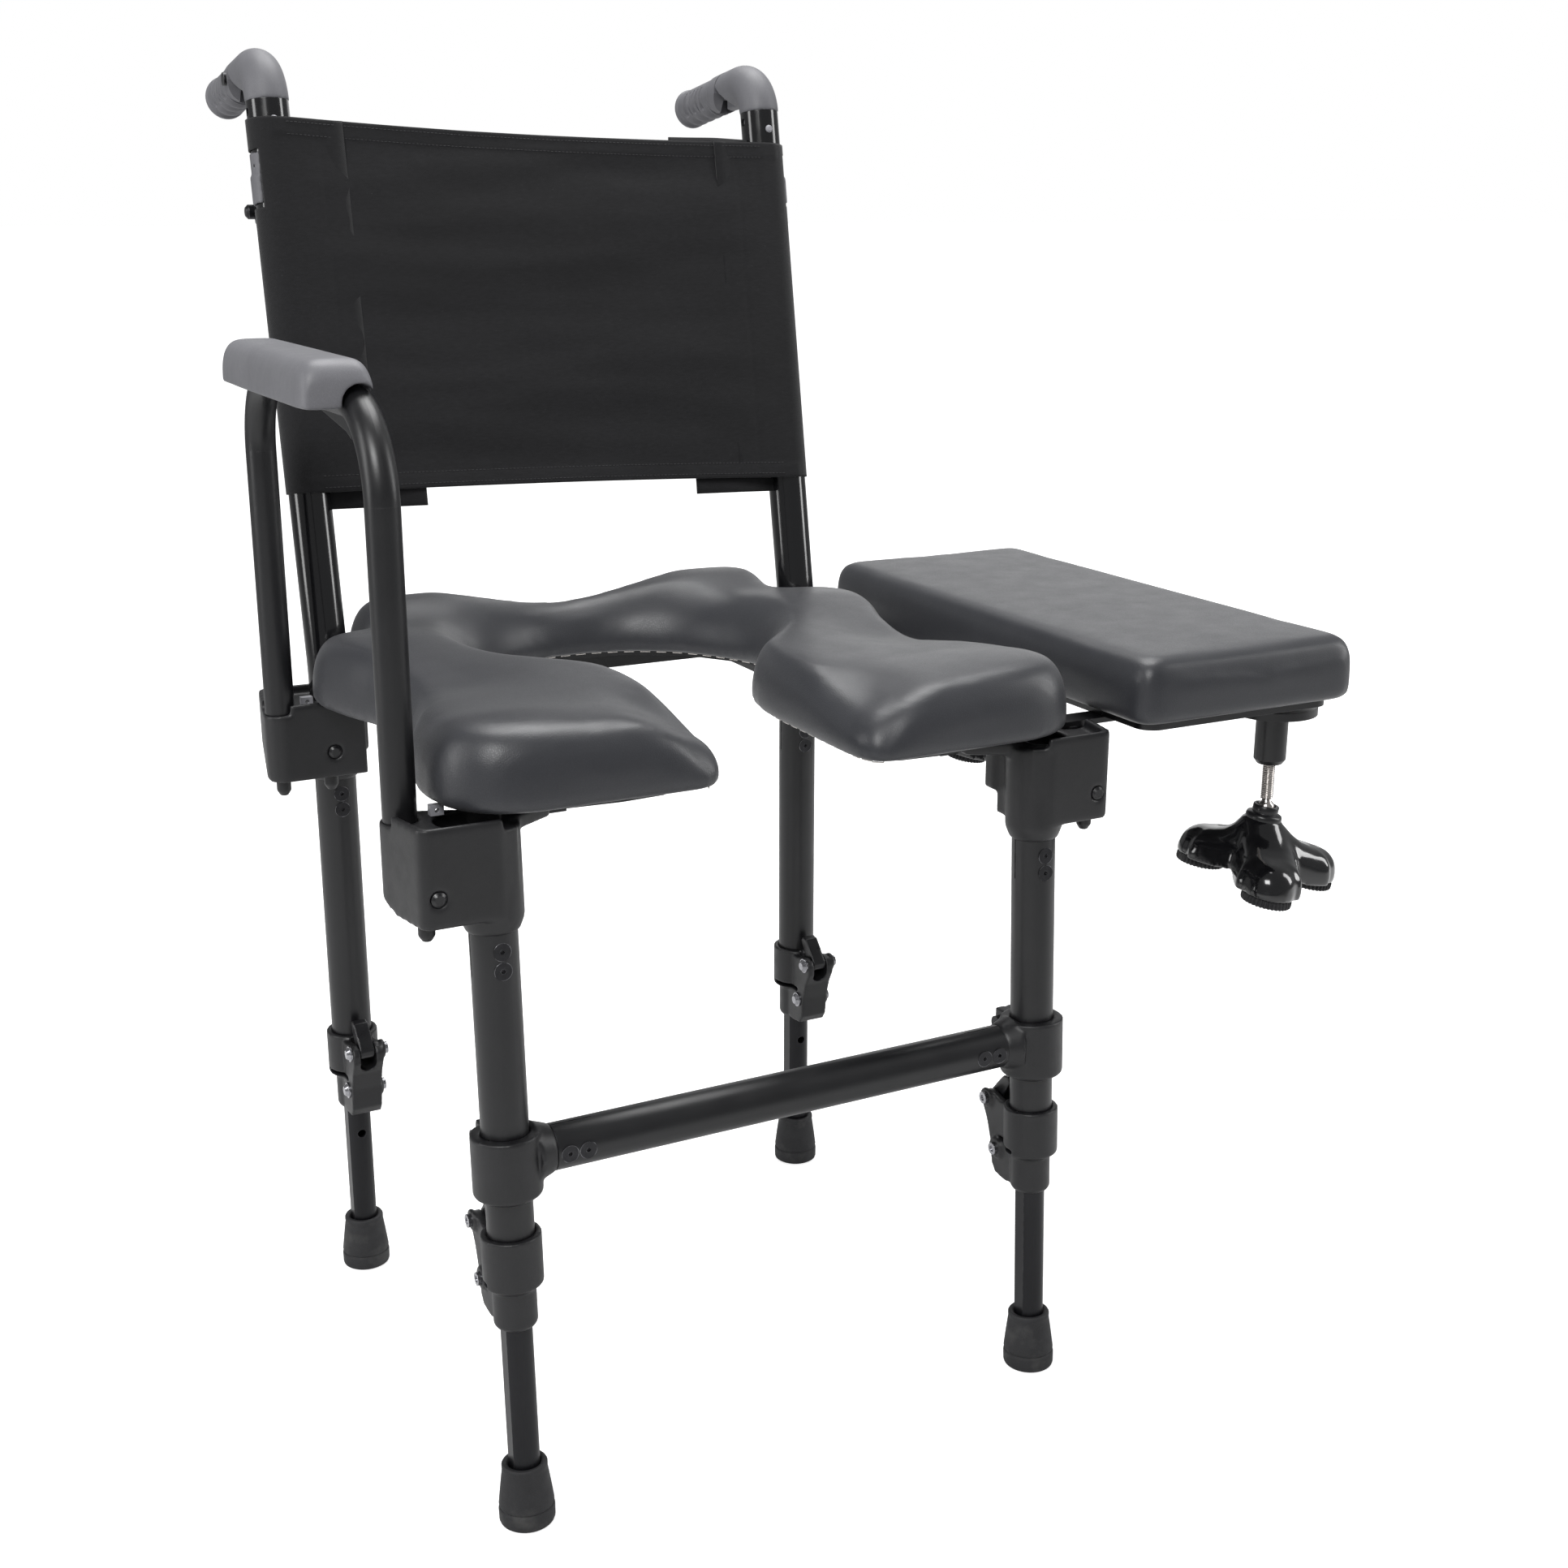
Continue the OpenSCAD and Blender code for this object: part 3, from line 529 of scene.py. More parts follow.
    def wear(self, color, radius, amount):
        """Edges rubbed lighter: where a bevelled normal leaves the true one, broken by noise."""
        rounded = self.bevel(radius)
        geometry = self.node("ShaderNodeNewGeometry")
        dot = self.node("ShaderNodeVectorMath", operation="DOT_PRODUCT")
        self.link(rounded, dot.inputs[0])
        self.link(geometry.outputs["Normal"], dot.inputs[1])
        edge = self.ramp(dot.outputs["Value"], start=0.995, end=0.93)
        patches = self.ramp(self.noise(scale=160, detail=4), 0.42, 0.62, 0.0, amount)
        self.toward(self.math("MULTIPLY", edge, patches), linear(color))

    def layer(self, kind, weight, roughness):
        """Sets the Coat or the Sheen layer."""
        self.bsdf.inputs[kind + " Weight"].default_value = weight
        self.bsdf.inputs[kind + " Roughness"].default_value = roughness

    def done(self):
        self.link(self.color, self.bsdf.inputs["Base Color"])
        self.link(self.rough, self.bsdf.inputs["Roughness"])
        if self.normal is not None:
            self.link(self.normal, self.bsdf.inputs["Normal"])
        return self.material


def paint_satin():
    m = Mat("satin_black_coat", linear("#131315"), roughness=0.34)
    m.soft_edges(radius=0.0006)
    m.vary(scale=9, low=0.9, high=1.12)
    m.smudge(scale=38, detail=5, low=-0.04, high=0.07)
    m.speckle(scale=2600, detail=1, start=0.45, end=0.75, low=1.0, high=1.35)
    m.grain(scale=900, detail=2, strength=0.25, depth=0.00012)
    m.wear("#6c6c70", radius=0.0009, amount=0.35)
    return m.done()


def paint_gloss():
    m = Mat("gloss_black_tube", linear("#101012"), roughness=0.13)
    m.soft_edges(radius=0.0006)
    m.vary(scale=11, low=0.9, high=1.15)
    m.smudge(scale=60, detail=4, low=-0.02, high=0.06)
    m.grain(scale=500, detail=2, strength=0.08, depth=0.0001)
    m.layer("Coat", weight=0.35, roughness=0.06)
    return m.done()


def casting():
    m = Mat("matt_black_casting", linear("#171719"), roughness=0.42)
    m.vary(scale=22, low=0.88, high=1.14)
    m.smudge(scale=70, detail=4, low=-0.05, high=0.07)
    m.speckle(scale=1900, detail=2, start=0.45, end=0.7, low=0.94, high=1.25)
    m.grain(scale=1300, detail=2, strength=0.4, depth=0.00014)
    m.grain(scale=240, detail=3, strength=0.2, depth=0.0003)
    m.wear("#59595d", radius=0.0016, amount=0.3)
    return m.done()


def anodised():
    m = Mat("black_anodised", linear("#19191c"), roughness=0.34, metallic=0.45)
    m.soft_edges(radius=0.0005)
    m.vary(scale=16, low=0.9, high=1.14)
    streak = m.noise(scale=120, detail=3, roughness=0.5, stretch=(14, 14, 0.4))
    m.tint(m.ramp(streak, start=0.3, end=0.7), low=0.9, high=1.15)
    m.rough_by(streak, low=-0.05, high=0.07)
    m.bump(streak, strength=0.12, depth=0.00008)
    m.wear("#7a7a7e", radius=0.0008, amount=0.4)
    return m.done()


def rubber():
    m = Mat("matt_rubber", linear("#212123"), roughness=0.66)
    m.vary(scale=30, low=0.86, high=1.16)
    m.smudge(scale=110, detail=4, low=-0.08, high=0.08)
    m.speckle(scale=1500, detail=2, start=0.45, end=0.7, low=0.95, high=1.3)
    m.grain(scale=900, detail=3, strength=0.5, depth=0.00018)
    m.dust(scale=46, start=0.55, end=0.78, amount=0.25, color="#6a6966")
    return m.done()


def lever_black():
    m = Mat("semi_gloss_black", linear("#151517"), roughness=0.3)
    m.soft_edges(radius=0.0006)
    m.vary(scale=40, low=0.9, high=1.15)
    m.smudge(scale=90, detail=4, low=-0.04, high=0.07)
    m.grain(scale=700, detail=2, strength=0.18, depth=0.0001)
    m.wear("#55555a", radius=0.001, amount=0.35)
    return m.done()


def moulded_grey(name, color, roughness):
    m = Mat(name, linear(color), roughness)
    m.vary(scale=24, low=0.93, high=1.08)
    m.smudge(scale=80, detail=4, low=-0.06, high=0.06)
    m.speckle(scale=1700, detail=2, start=0.42, end=0.72, low=0.94, high=1.1)
    m.grain(scale=1500, detail=2, strength=0.45, depth=0.00013)
    m.grain(scale=130, detail=3, strength=0.1, depth=0.0004)
    m.wear("#96969a", radius=0.0012, amount=0.2)
    return m.done()


def vinyl():
    m = Mat("coated_grey_upholstery", linear("#2e2f33"), roughness=0.38)
    m.vary(scale=6, low=0.94, high=1.07)
    m.vary(scale=55, low=0.97, high=1.04)
    cells = m.node("ShaderNodeTexVoronoi", feature="DISTANCE_TO_EDGE")
    cells.inputs["Scale"].default_value = 620
    m.link(m.coord, cells.inputs["Vector"])
    leather = m.ramp(cells.outputs["Distance"], start=0.0, end=0.25)
    m.tint(leather, low=0.92, high=1.03)
    m.smudge(scale=34, detail=5, low=-0.05, high=0.06)
    m.rough = m.math("ADD", m.rough, m.ramp(leather, start=0, end=1, low=0.05, high=-0.02))
    m.bump(leather, strength=0.22, depth=0.00012)
    m.grain(scale=90, detail=4, strength=0.1, depth=0.0005)
    m.layer("Sheen", weight=0.06, roughness=0.5)
    return m.done()


def weave():
    thread_period = 0.0011
    wander = 0.0012               # how far the threads stray from straight
    m = Mat("woven_black_fabric", linear("#161618"), roughness=0.82, specular=0.3)
    split = m.node("ShaderNodeSeparateXYZ")
    warped = m.node("ShaderNodeVectorMath", operation="ADD")
    cloud = m.node("ShaderNodeTexNoise")
    cloud.inputs["Scale"].default_value = 60
    m.link(m.coord, cloud.inputs["Vector"])
    stray = m.node("ShaderNodeVectorMath", operation="SCALE")
    m.link(cloud.outputs["Color"], stray.inputs[0])
    stray.inputs["Scale"].default_value = wander
    m.link(m.coord, warped.inputs[0])
    m.link(stray.outputs[0], warped.inputs[1])
    m.link(warped.outputs[0], split.inputs[0])
    rate = 2 * math.pi / thread_period
    wave_x = m.math("SINE", m.math("MULTIPLY", split.outputs["X"], rate))
    wave_z = m.math("SINE", m.math("MULTIPLY", split.outputs["Z"], rate))
    checker = m.math("MULTIPLY", wave_x, wave_z)
    thread = m.math("MAXIMUM", m.math("ABSOLUTE", wave_x), m.math("ABSOLUTE", wave_z))
    height = m.math("ADD", m.math("MULTIPLY", checker, 0.5), m.math("MULTIPLY", thread, 0.5))
    m.vary(scale=7, low=0.86, high=1.16)
    m.tint(m.ramp(height, start=-0.5, end=1.0), low=0.72, high=1.22)
    slubs = m.noise(scale=700, detail=3, roughness=0.6, stretch=(0.25, 1, 1))
    m.tint(m.ramp(slubs, start=0.35, end=0.7), low=0.85, high=1.25)
    m.dust(scale=1400, detail=1, start=0.76, end=0.82, amount=0.35, color="#6d6d70")
    m.bump(height, strength=0.5, depth=0.00022)
    creases = m.noise(scale=45, detail=4, roughness=0.5, stretch=(0.5, 1, 1.6))
    m.bump(creases, strength=0.35, depth=0.0012)
    m.layer("Sheen", weight=0.18, roughness=0.45)
    return m.done()


def webbing():
    m = Mat("ribbed_webbing", linear("#18181a"), roughness=0.7, specular=0.35)
    wave = m.node("ShaderNodeTexWave", wave_type="BANDS", bands_direction="X")
    wave.inputs["Scale"].default_value = 160
    wave.inputs["Distortion"].default_value = 0.4
    m.link(m.coord, wave.inputs["Vector"])
    m.vary(scale=30, low=0.85, high=1.2)
    m.tint(wave.outputs["Fac"], low=0.8, high=1.15)
    m.bump(wave.outputs["Fac"], strength=0.5, depth=0.0003)
    return m.done()


def steel_black():
    m = Mat("blackened_steel", linear("#2f2f31"), roughness=0.3, metallic=0.8)
    m.soft_edges(radius=0.0003)
    m.vary(scale=200, low=0.85, high=1.2)
    m.smudge(scale=300, detail=3, low=-0.06, high=0.1)
    m.grain(scale=1200, detail=2, strength=0.2, depth=0.00006)
    m.wear("#a0a0a4", radius=0.0005, amount=0.6)
    return m.done()


def steel_bright(name, color, roughness):
    m = Mat(name, linear(color), roughness, metallic=1.0)
    m.soft_edges(radius=0.0003)
    m.vary(scale=150, low=0.88, high=1.1)
    m.smudge(scale=260, detail=4, low=-0.05, high=0.1)
    m.grain(scale=1500, detail=2, strength=0.12, depth=0.00004)
    return m.done()


def foot_gloss():
    m = Mat("gloss_black_rubber", linear("#0d0d0f"), roughness=0.12)
    m.vary(scale=18, low=0.85, high=1.2)
    m.smudge(scale=50, detail=5, low=-0.03, high=0.08)
    m.grain(scale=60, detail=2, strength=0.08, depth=0.0006)
    m.layer("Coat", weight=0.5, roughness=0.05)
    m.dust(scale=90, start=0.62, end=0.85, amount=0.12, color="#6a6a6c")
    return m.done()


def clip_grey():
    m = Mat("pale_grey_clip", linear("#9b9ba0"), roughness=0.35)
    m.soft_edges(radius=0.0005)
    m.vary(scale=90, low=0.92, high=1.08)
    m.smudge(scale=160, detail=3, low=-0.05, high=0.06)
    m.grain(scale=900, detail=2, strength=0.2, depth=0.00008)
    return m.done()


def sewing_thread():
    m = Mat("sewing_thread", linear("#2a2a2c"), roughness=0.6)
    m.vary(scale=300, low=0.8, high=1.25)
    m.grain(scale=2600, detail=2, strength=0.4, depth=0.0001)
    return m.done()


MATERIALS = {                     # by material slot
    "frame_paint": paint_satin(),
    "cast_black": casting(),
    "screw_steel": steel_black(),
    "bolt_steel": steel_bright("polished_bolt", "#a8a8ac", roughness=0.22),
    "anodised": anodised(),
    "rubber": rubber(),
    "lever_plastic": lever_black(),
    "grip_grey": moulded_grey("moulded_grey_grip", "#66666a", roughness=0.55),
    "seat_vinyl": vinyl(),
    "sling_fabric": weave(),
    "clip_grey": clip_grey(),
    "stainless": steel_bright("stainless_thread", "#c9c4c0", roughness=0.18),
    "foot_gloss": foot_gloss(),
}
GLOSS_TUBE = paint_gloss()
ARM_PAD = moulded_grey("moulded_grey_pad", "#6a6a6e", roughness=0.5)
THREAD = sewing_thread()
WEBBING = webbing()


def paint_node(name, material):
    ob = NODES[name]
    if not ob.material_slots:
        ob.data.materials.append(material)
    for slot in ob.material_slots:
        slot.link = "OBJECT"
        slot.material = material


for node_name in NODES:
    paint_node(node_name, MATERIALS[SLOT[node_name]])
for side_name in SIDES:
    paint_node("back_tube_" + side_name, GLOSS_TUBE)


def place(ob, body, slot, material=None, replaces=None):
    """Gives the object its material (by default the one for its slot), attaches it to its moving
    body and hides the CAD piece it replaces.
    """
    ob.data.materials.clear()
    ob.data.materials.append(material or MATERIALS[slot])
    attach(ob, body)
    if replaces:
        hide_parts(replaces)


# ------------------------------------------------------------------ frames
def leg_frame(leg):
    """Origin at the leg's foot, +Z up the leg, +Y towards the middle of the chair."""
    up = Vector(JOINTS["leg_%s_height" % LEGS[leg]]["axis"]).normalized()
    rear = "rear" in leg
    inward = Vector((0, -1, 0)) if rear else Vector((0, 1, 0))
    inward = (inward - up * inward.dot(up)).normalized()
    x = inward.cross(up)
    top = Vector((-POST_X if "left" in leg else POST_X, POST_Y if rear else -POST_Y, LEG_TOP))
    return axes_matrix(top - up * (LEG_TOP / (1 if rear else up.z)), x, inward, up)


def back_frame():
    """+Z up the back tubes, +Y through the back; the tubes' axes lie in its XZ plane."""
    y = Vector(JOINTS["snap_left_press"]["axis"]).normalized()
    return axes_matrix(Vector((0, POST_Y, 0.521)), Vector((1, 0, 0)), y, Vector((0, -y.z, y.y)))


def grip_frame(side):
    """Origin on the fold hinge, +Y out along the grip, which droops."""
    droop = math.radians(8.5)
    y = Vector((0, math.cos(droop), -math.sin(droop)))
    z = Vector((0, math.sin(droop), math.cos(droop)))
    return axes_matrix(Vector(JOINTS["grip_%s_fold" % side]["pos_m"]), Vector((1, 0, 0)), y, z)


BACK = back_frame()


# ------------------------------------------------------------------ castings with moulded edges
def clear_bore(ob, matrix, radius, z0, z1):
    """Pushes the surface near a bore about local Z out to clear the tube in it."""
    clearance, reach = 0.0002, 0.0012
    inverse = np.array(matrix.inverted())
    local = get_v(ob) @ inverse[:3, :3].T + inverse[:3, 3]
    d = np.linalg.norm(local[:, :2], axis=1)
    near = (local[:, 2] > z0) & (local[:, 2] < z1) & (d < radius + reach) & (d > radius * 0.5)
    gain = np.where(near, (radius + clearance) / np.maximum(d, 1e-6), 1.0)
    local[:, 0] *= gain
    local[:, 1] *= gain
    forward = np.array(matrix)
    set_v(ob, local @ forward[:3, :3].T + forward[:3, 3])


def soften(node, voxel, iterations, ratio=None, bores=()):
    """Rounds the edges of a CAD piece; bores: (matrix, radius, z0, z1)."""
    ob = link_mesh("moulded_" + node, NODES[node].data.copy())
    ob.data.materials.clear()
    edit(ob, lambda bm: bmesh.ops.remove_doubles(bm, verts=bm.verts, dist=1e-6))
    remesh(ob, voxel)
    smooth(ob, iterations)
    for bore in bores:
        clear_bore(ob, *bore)
    if ratio:
        modify(ob, "DECIMATE", ratio=ratio)
    place(ob, BODY[node], SLOT[node], replaces=node)


for leg_name in LEGS:
    leg_axes = leg_frame(leg_name)
    soften("bracket_" + leg_name, voxel=0.0015, iterations=11, ratio=0.6)
    soften("height_clamp_" + leg_name, voxel=0.0011, iterations=4, ratio=0.6,
           bores=[(leg_axes, OUTER_BORE, 0.1855, 0.25), (leg_axes, INNER_BORE, 0.1, 0.184)])
    soften("clamp_lever_" + leg_name, voxel=0.0007, iterations=4, ratio=0.7)
for side_name in SIDES:
    soften("tee_clamp_" + side_name, voxel=0.0013, iterations=5, ratio=0.6,
           bores=[(leg_frame("front_" + side_name), OUTER_BORE, 0.23, 0.3)])
    soften("handle_elbow_" + side_name, voxel=0.0012, iterations=3, ratio=0.6)
soften("back_brace", voxel=0.0012, iterations=4, ratio=0.6)
soften("latch_tabs", voxel=0.0007, iterations=3)


# ------------------------------------------------------------------ rubber foot tips
# (radius, height) in mm: the sole, up the outside, over the rim and down the socket
FOOT_TIP = [
    (0, 0), (17.6, 0), (18.9, 0.8), (19.4, 2.2), (19.5, 9.6), (19.2, 11.0), (18.3, 11.5),
    (18.2, 12.3), (19.0, 12.9), (19.2, 14), (18.2, 22), (17.0, 31), (16.0, 38), (15.7, 40),
    (15.9, 40.8), (15.9, 43.0), (15.2, 44.2), (13.9, 44.5), (12.2, 44.1), (11.35, 43.0),
    (11.3, 12), (0, 12)]


def foot_tip(leg):
    tread, tread_cap, blend = 0.0105, 0.012, 0.009
    matrix = leg_frame(leg)
    ob = Build().revolve([(r * MM, z * MM) for r, z in FOOT_TIP], 72).obj("rubber_tip_" + leg)
    ob.data.transform(matrix)
    # the tread lies flat on the floor whatever the leg's lean
    v = get_v(ob)
    low = v[:, 2] < tread
    inverse = matrix.inverted()
    flat = np.array([min(max((inverse @ Vector(p)).z, 0), tread_cap) for p in v[low]])
    if "rear" in leg:
        v[low, 2] = flat
    else:
        v[low, 2] = np.maximum(flat + (v[low, 2] - flat) * rise(flat, 0, blend), 0)
    set_v(ob, v)
    modify(ob, "BEVEL", width=0.0003, segments=2, limit_method="ANGLE",
           angle_limit=math.radians(40))
    place(ob, BODY["foot_tip_" + leg], "rubber", replaces="foot_tip_" + leg)


for leg_name in LEGS:
    foot_tip(leg_name)


# ------------------------------------------------------------------ seat cushion
# (x, y) in mm down the right half: rear middle, outer edge, front, then back along the opening
SEAT = [
    (0, 240), (60, 241), (118, 243), (160, 238), (183, 218), (186, 195), (188, 172), (206, 164),
    (228, 152), (238, 118), (230, 76), (215, 32), (210, -14), (217, -60), (235, -108),
    (240, -150), (232, -188), (200, -212), (120, -216), (68, -214), (53, -198), (50, -170),
    (50, -110), (51, -60), (60, -20), (85, 12), (110, 45), (118, 82), (107, 120), (80, 160),
    (42, 184), (0, 191)]
SEAT_FRONT_CORNER = 19            # the entry where the front edge meets the opening
SEAT_STEPS = 7                    # curve steps to a span
SEAT_POST_GAP = 0.0182            # the cushion keeps this far from a back tube's axis


def seat_outline():
    """The whole outline, then its outer and inner edges as open lines."""
    mirrored = [(-x, y) for x, y in SEAT[1:-1]][::-1]
    ring = catmull(SEAT + mirrored, SEAT_STEPS) * MM
    corner = SEAT_FRONT_CORNER * SEAT_STEPS
    n = len(ring)
    outer = np.vstack([ring[n - corner:], ring[:corner + 1]])
    return ring, outer, ring[corner:n - corner + 1]


def seat_height(plan, outer, inner):
    """Thickness in mm, and the share of it left by the rounding at each edge."""
    from_outer, from_inner = dist_to(plan, outer), dist_to(plan, inner)
    x, y = plan[:, 0] * 1000, plan[:, 1] * 1000
    side = np.abs(x)
    # mm; bell(place, centre, width) and rise(place, start, end)
    thick = (48.0
             + 7 * bell(y, -170, 42) * bell(side, 185, 60)          # swells at the front corners
             - 17 * rise(-side, -118, -58) * rise(-y, 90, 190)      # falls to the opening's mouth
             - 8 * bell(y, -28, 44) * rise(side, 110, 185)          # dips at the narrow waist
             + 6 * bell(y, 95, 46) * bell(side, 178, 48)            # swells behind the waist
             - 13 * bell(x, 0, 74) * rise(y, 120, 190)              # dips behind the opening
             + 5 * bell(y, 222, 40) * bell(side, 128, 45)           # swells at the rear corners
             - 5 * bell(y, 182, 16) * rise(side, 150, 190))         # dips by the back tubes
    thick = np.minimum(thick + 9 * rise(y, 150, 205), 60)
    # widths of the rounding, then the share of the height kept at the very edge
    outer_width = 0.020 + 0.001 * rise(-y, 100, 190)
    inner_width = 0.015 + 0.026 * rise(y, 20, 150) + 0.006 * rise(-y, 20, 120)
    outer_low = 0.42
    inner_low = 0.34 - 0.14 * rise(y, 40, 160)
    outer_t = np.clip(from_outer / outer_width, 0, 1)
    inner_t = np.clip(from_inner / inner_width, 0, 1)
    return (thick, outer_low + (1 - outer_low) * dome(outer_t, power=2.2, root=0.5),
            inner_low + (1 - inner_low) * dome(inner_t, power=2.0, root=0.62))


def settle(ob, z0, floor, cap):
    """Puffs a cushion above its lower edge, smooths it and keeps it above floor."""
    puff(ob, cap, np.clip((get_v(ob)[:, 2] - z0 - 0.008) / 0.02, 0, 1))
    smooth(ob, 4)
    v = get_v(ob)
    v[:, 2] = np.clip(v[:, 2], z0 + floor, None)
    set_v(ob, v)


def seat_cushion(ring, outer, inner, z0, z1):
    floor = 0.0002
    ob = prism("seat_upholstery", ring, z0 + 0.0005, z1)
    remesh(ob, 0.0045)
    v = get_v(ob)
    thick, outer_share, inner_share = seat_height(v[:, :2], outer, inner)
    v[:, 2] = z0 + (v[:, 2] - z0) / (z1 - z0) * thick * MM * outer_share * inner_share
    set_v(ob, v)
    smooth(ob, 3)
    remesh(ob, 0.0038)
    smooth(ob, 5)
    v = get_v(ob)
    v[:, 2] = np.maximum(v[:, 2], z0 + floor)
    set_v(ob, v)
    settle(ob, z0, floor, cap=0.0011)
    # keep clear of the back tubes
    v = get_v(ob)
    for x in (-POST_X, POST_X):
        centre = np.array([x, POST_Y])
        away = v[:, :2] - centre
        d = np.linalg.norm(away, axis=1)
        gain = np.where(d < SEAT_POST_GAP, SEAT_POST_GAP / np.maximum(d, 1e-6), 1)
        v[:, :2] = centre + away * gain[:, None]
    set_v(ob, v)
    subdivide(ob)
    place(ob, "seat", "seat_vinyl", replaces="seat_cushion")


def seat_staples(ring, inner, z0):
    """Staples on the underside along the opening."""
    pitch, end_gap, inset, edge_gap = 0.013, 0.01, 0.0075, 0.005
    half_width, leg_height, wire_radius = 0.004, 0.001, 0.0005
    length = np.linalg.norm(np.diff(inner, axis=0), axis=1)
    along = np.concatenate([[0], np.cumsum(length)])
    z = z0 - 0.0002
    b = Build()
    for at in np.arange(end_gap, along[-1] - end_gap, pitch):
        i = int(np.searchsorted(along, at)) - 1
        span = max(length[i], 1e-9)
        f = (at - along[i]) / span
        tangent = (inner[i + 1] - inner[i]) / span
        normal = np.array([-tangent[1], tangent[0]])
        centre = inner[i] * (1 - f) + inner[i + 1] * f + normal * (-inset)
        if dist_to(centre[None], ring, closed=True)[0] < edge_gap:
            continue
        (ax, ay), (bx, by) = centre - tangent * half_width, centre + tangent * half_width
        top = z + leg_height
        b.tube([(ax, ay, top), (ax, ay, z), (bx, by, z), (bx, by, top)], wire_radius, 6)
    place(b.obj("seat_staples"), "seat", "clip_grey", MATERIALS["stainless"])


def seat():
    low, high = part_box("seat_cushion")
    ring, outer, inner = seat_outline()
    seat_cushion(ring, outer, inner, low[2], high[2])
    seat_staples(ring, inner, low[2])


seat()


# ------------------------------------------------------------------ side transfer pad
def transfer_pad():
    spread, corner_radius, lift = 0.0008, 0.017, 0.0004
    edge_width = 0.014            # of the rounding along the top
    tuck, tuck_height = 0.0009, 0.010
    lo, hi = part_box("transfer_pad")
    z0, z1 = lo[2], hi[2]
    outline = rounded_rect(lo[0] - spread, lo[1] - spread, hi[0] + spread, hi[1] + spread,
                           corner_radius)
    ob = prism("transfer_pad_upholstery", outline, z0 + lift, z1 - 0.001)
    remesh(ob, 0.0045)
    v = get_v(ob)
    d = dist_to(v[:, :2], outline, closed=True)
    share = 0.66 + 0.34 * dome(np.clip(d / edge_width, 0, 1), power=2.3, root=0.5)
    crown = 1.0 + 0.02 * rise(d, 0.0, 0.09)
    height = z1 - 0.0022 - z0
    v[:, 2] = z0 + (v[:, 2] - z0 - lift) / (z1 - z0 - 0.0014) * height * share * crown + lift
    # the lower edge tucks in
    inward = np.clip(1 - (v[:, 2] - z0) / tuck_height, 0, 1) ** 2 * tuck
    centre = np.array([(lo[0] + hi[0]) / 2, (lo[1] + hi[1]) / 2])
    half = np.array([(hi[0] - lo[0]) / 2, (hi[1] - lo[1]) / 2])
    out = v[:, :2] - centre
    v[:, :2] -= np.sign(out) * (np.abs(out) > half - 0.02) * inward[:, None]
    set_v(ob, v)
    smooth(ob, 4)
    remesh(ob, 0.004)
    smooth(ob, 3)
    settle(ob, z0, floor=0.0003, cap=0.0007)
    subdivide(ob)
    place(ob, "side_board", "seat_vinyl", replaces="transfer_pad")


transfer_pad()


# ------------------------------------------------------------------ arm pad
def arm_pad():
    tube_x, tube_z = -0.257, 0.757
    end_round = 0.016
    ny, na = 90, 48
    lo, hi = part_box("arm_pad")
    y0, y1 = lo[1] + 0.006, hi[1] - 0.001
    z0, z1 = lo[2], hi[2]
    centre_x, half_width = (lo[0] + hi[0]) / 2, (hi[0] - lo[0]) / 2
    rows = []
    for i in range(ny + 1):
        u = i / ny
        y = y0 + (y1 - y0) * (0.5 - 0.5 * math.cos(math.pi * u))
        end = min(1.0, max(min(y - y0, y1 - y), 0) / end_round)
        # lower and narrower at the ends, and a little narrower towards the rear
        height = (z1 - z0) * (0.50 + 0.50 * dome(end, power=2.2, root=0.5))
        narrowing = 0.80 + 0.20 * dome(end, power=2.0, root=0.5)
        width = half_width * narrowing * (1 - 0.05 * rise(u, 0.5, 1.0))
        row = []
        for k in range(na):
            a = 2 * math.pi * k / na
            s = math.sin(a)
            x = centre_x + width * signed_power(math.cos(a), 0.42)
            if s >= 0:
                z = min(z0 + height * (0.10 + 0.90 * abs(s) ** 0.55), z1)
            else:
                z = z0 + height * 0.10 * (1 - abs(s) ** 0.4)
            # sides lean in a little towards the top
            lean = 1 - 0.10 * max(0.0, (z - z0) / (z1 - z0)) ** 2
            row.append((centre_x + (x - centre_x) * lean, y, z))
        rows.append(row)
    b = Build().grid(rows, close_v=True)
    b.fan(np.mean(rows[0], axis=0), 0, na, flip=True)
    b.fan(np.mean(rows[-1], axis=0), ny * na, na)
    ob = b.obj("arm_pad_moulding")
    # channel for the tube along the underside
    along_y = Matrix.Translation((tube_x, 0, tube_z)) @ Matrix.Rotation(math.radians(90), 4, "X")
    round_cut = Build().revolve([(0, -0.2), (0.0118, -0.2), (0.0118, 0.2), (0, 0.2)], 48,
                                along_y).obj("cut")
    slot_cut = box_obj("cut2", (-0.2688, -0.2452), (-0.2, 0.2), (tube_z - 0.03, tube_z))
    face_outward(ob)
    carve(ob, round_cut, slot_cut)
    remesh(ob, 0.0016)
    smooth(ob, 5)
    place(ob, "armrest", "grip_grey", ARM_PAD, "arm_pad")


arm_pad()


# ------------------------------------------------------------------ fabric back
# Built in the BACK frame: x across, y through the back, z along the back tubes.
SLING_LOW, SLING_HIGH = 0.131, 0.411
CUT_LOW, CUT_HIGH = 0.3525, 0.3965        # cutaway round the saddle clips
SLEEVE_R = TUBE_R + 0.0011
FRONT_LIMIT = -SLEEVE_R + 0.0005          # fabric in front of this is the front panel
SKEW_HALF = 0.227                         # half width over which the edges slope
# (x, y past the panel) where the left sleeve's returning edge lies behind the panel
SLEEVE_RETURN = [(-0.157, 0.0022), (-0.165, 0.0024), (-0.173, 0.0030), (-0.181, 0.0050),
                 (-0.188, 0.0085)]
PANEL_ROWS = 150


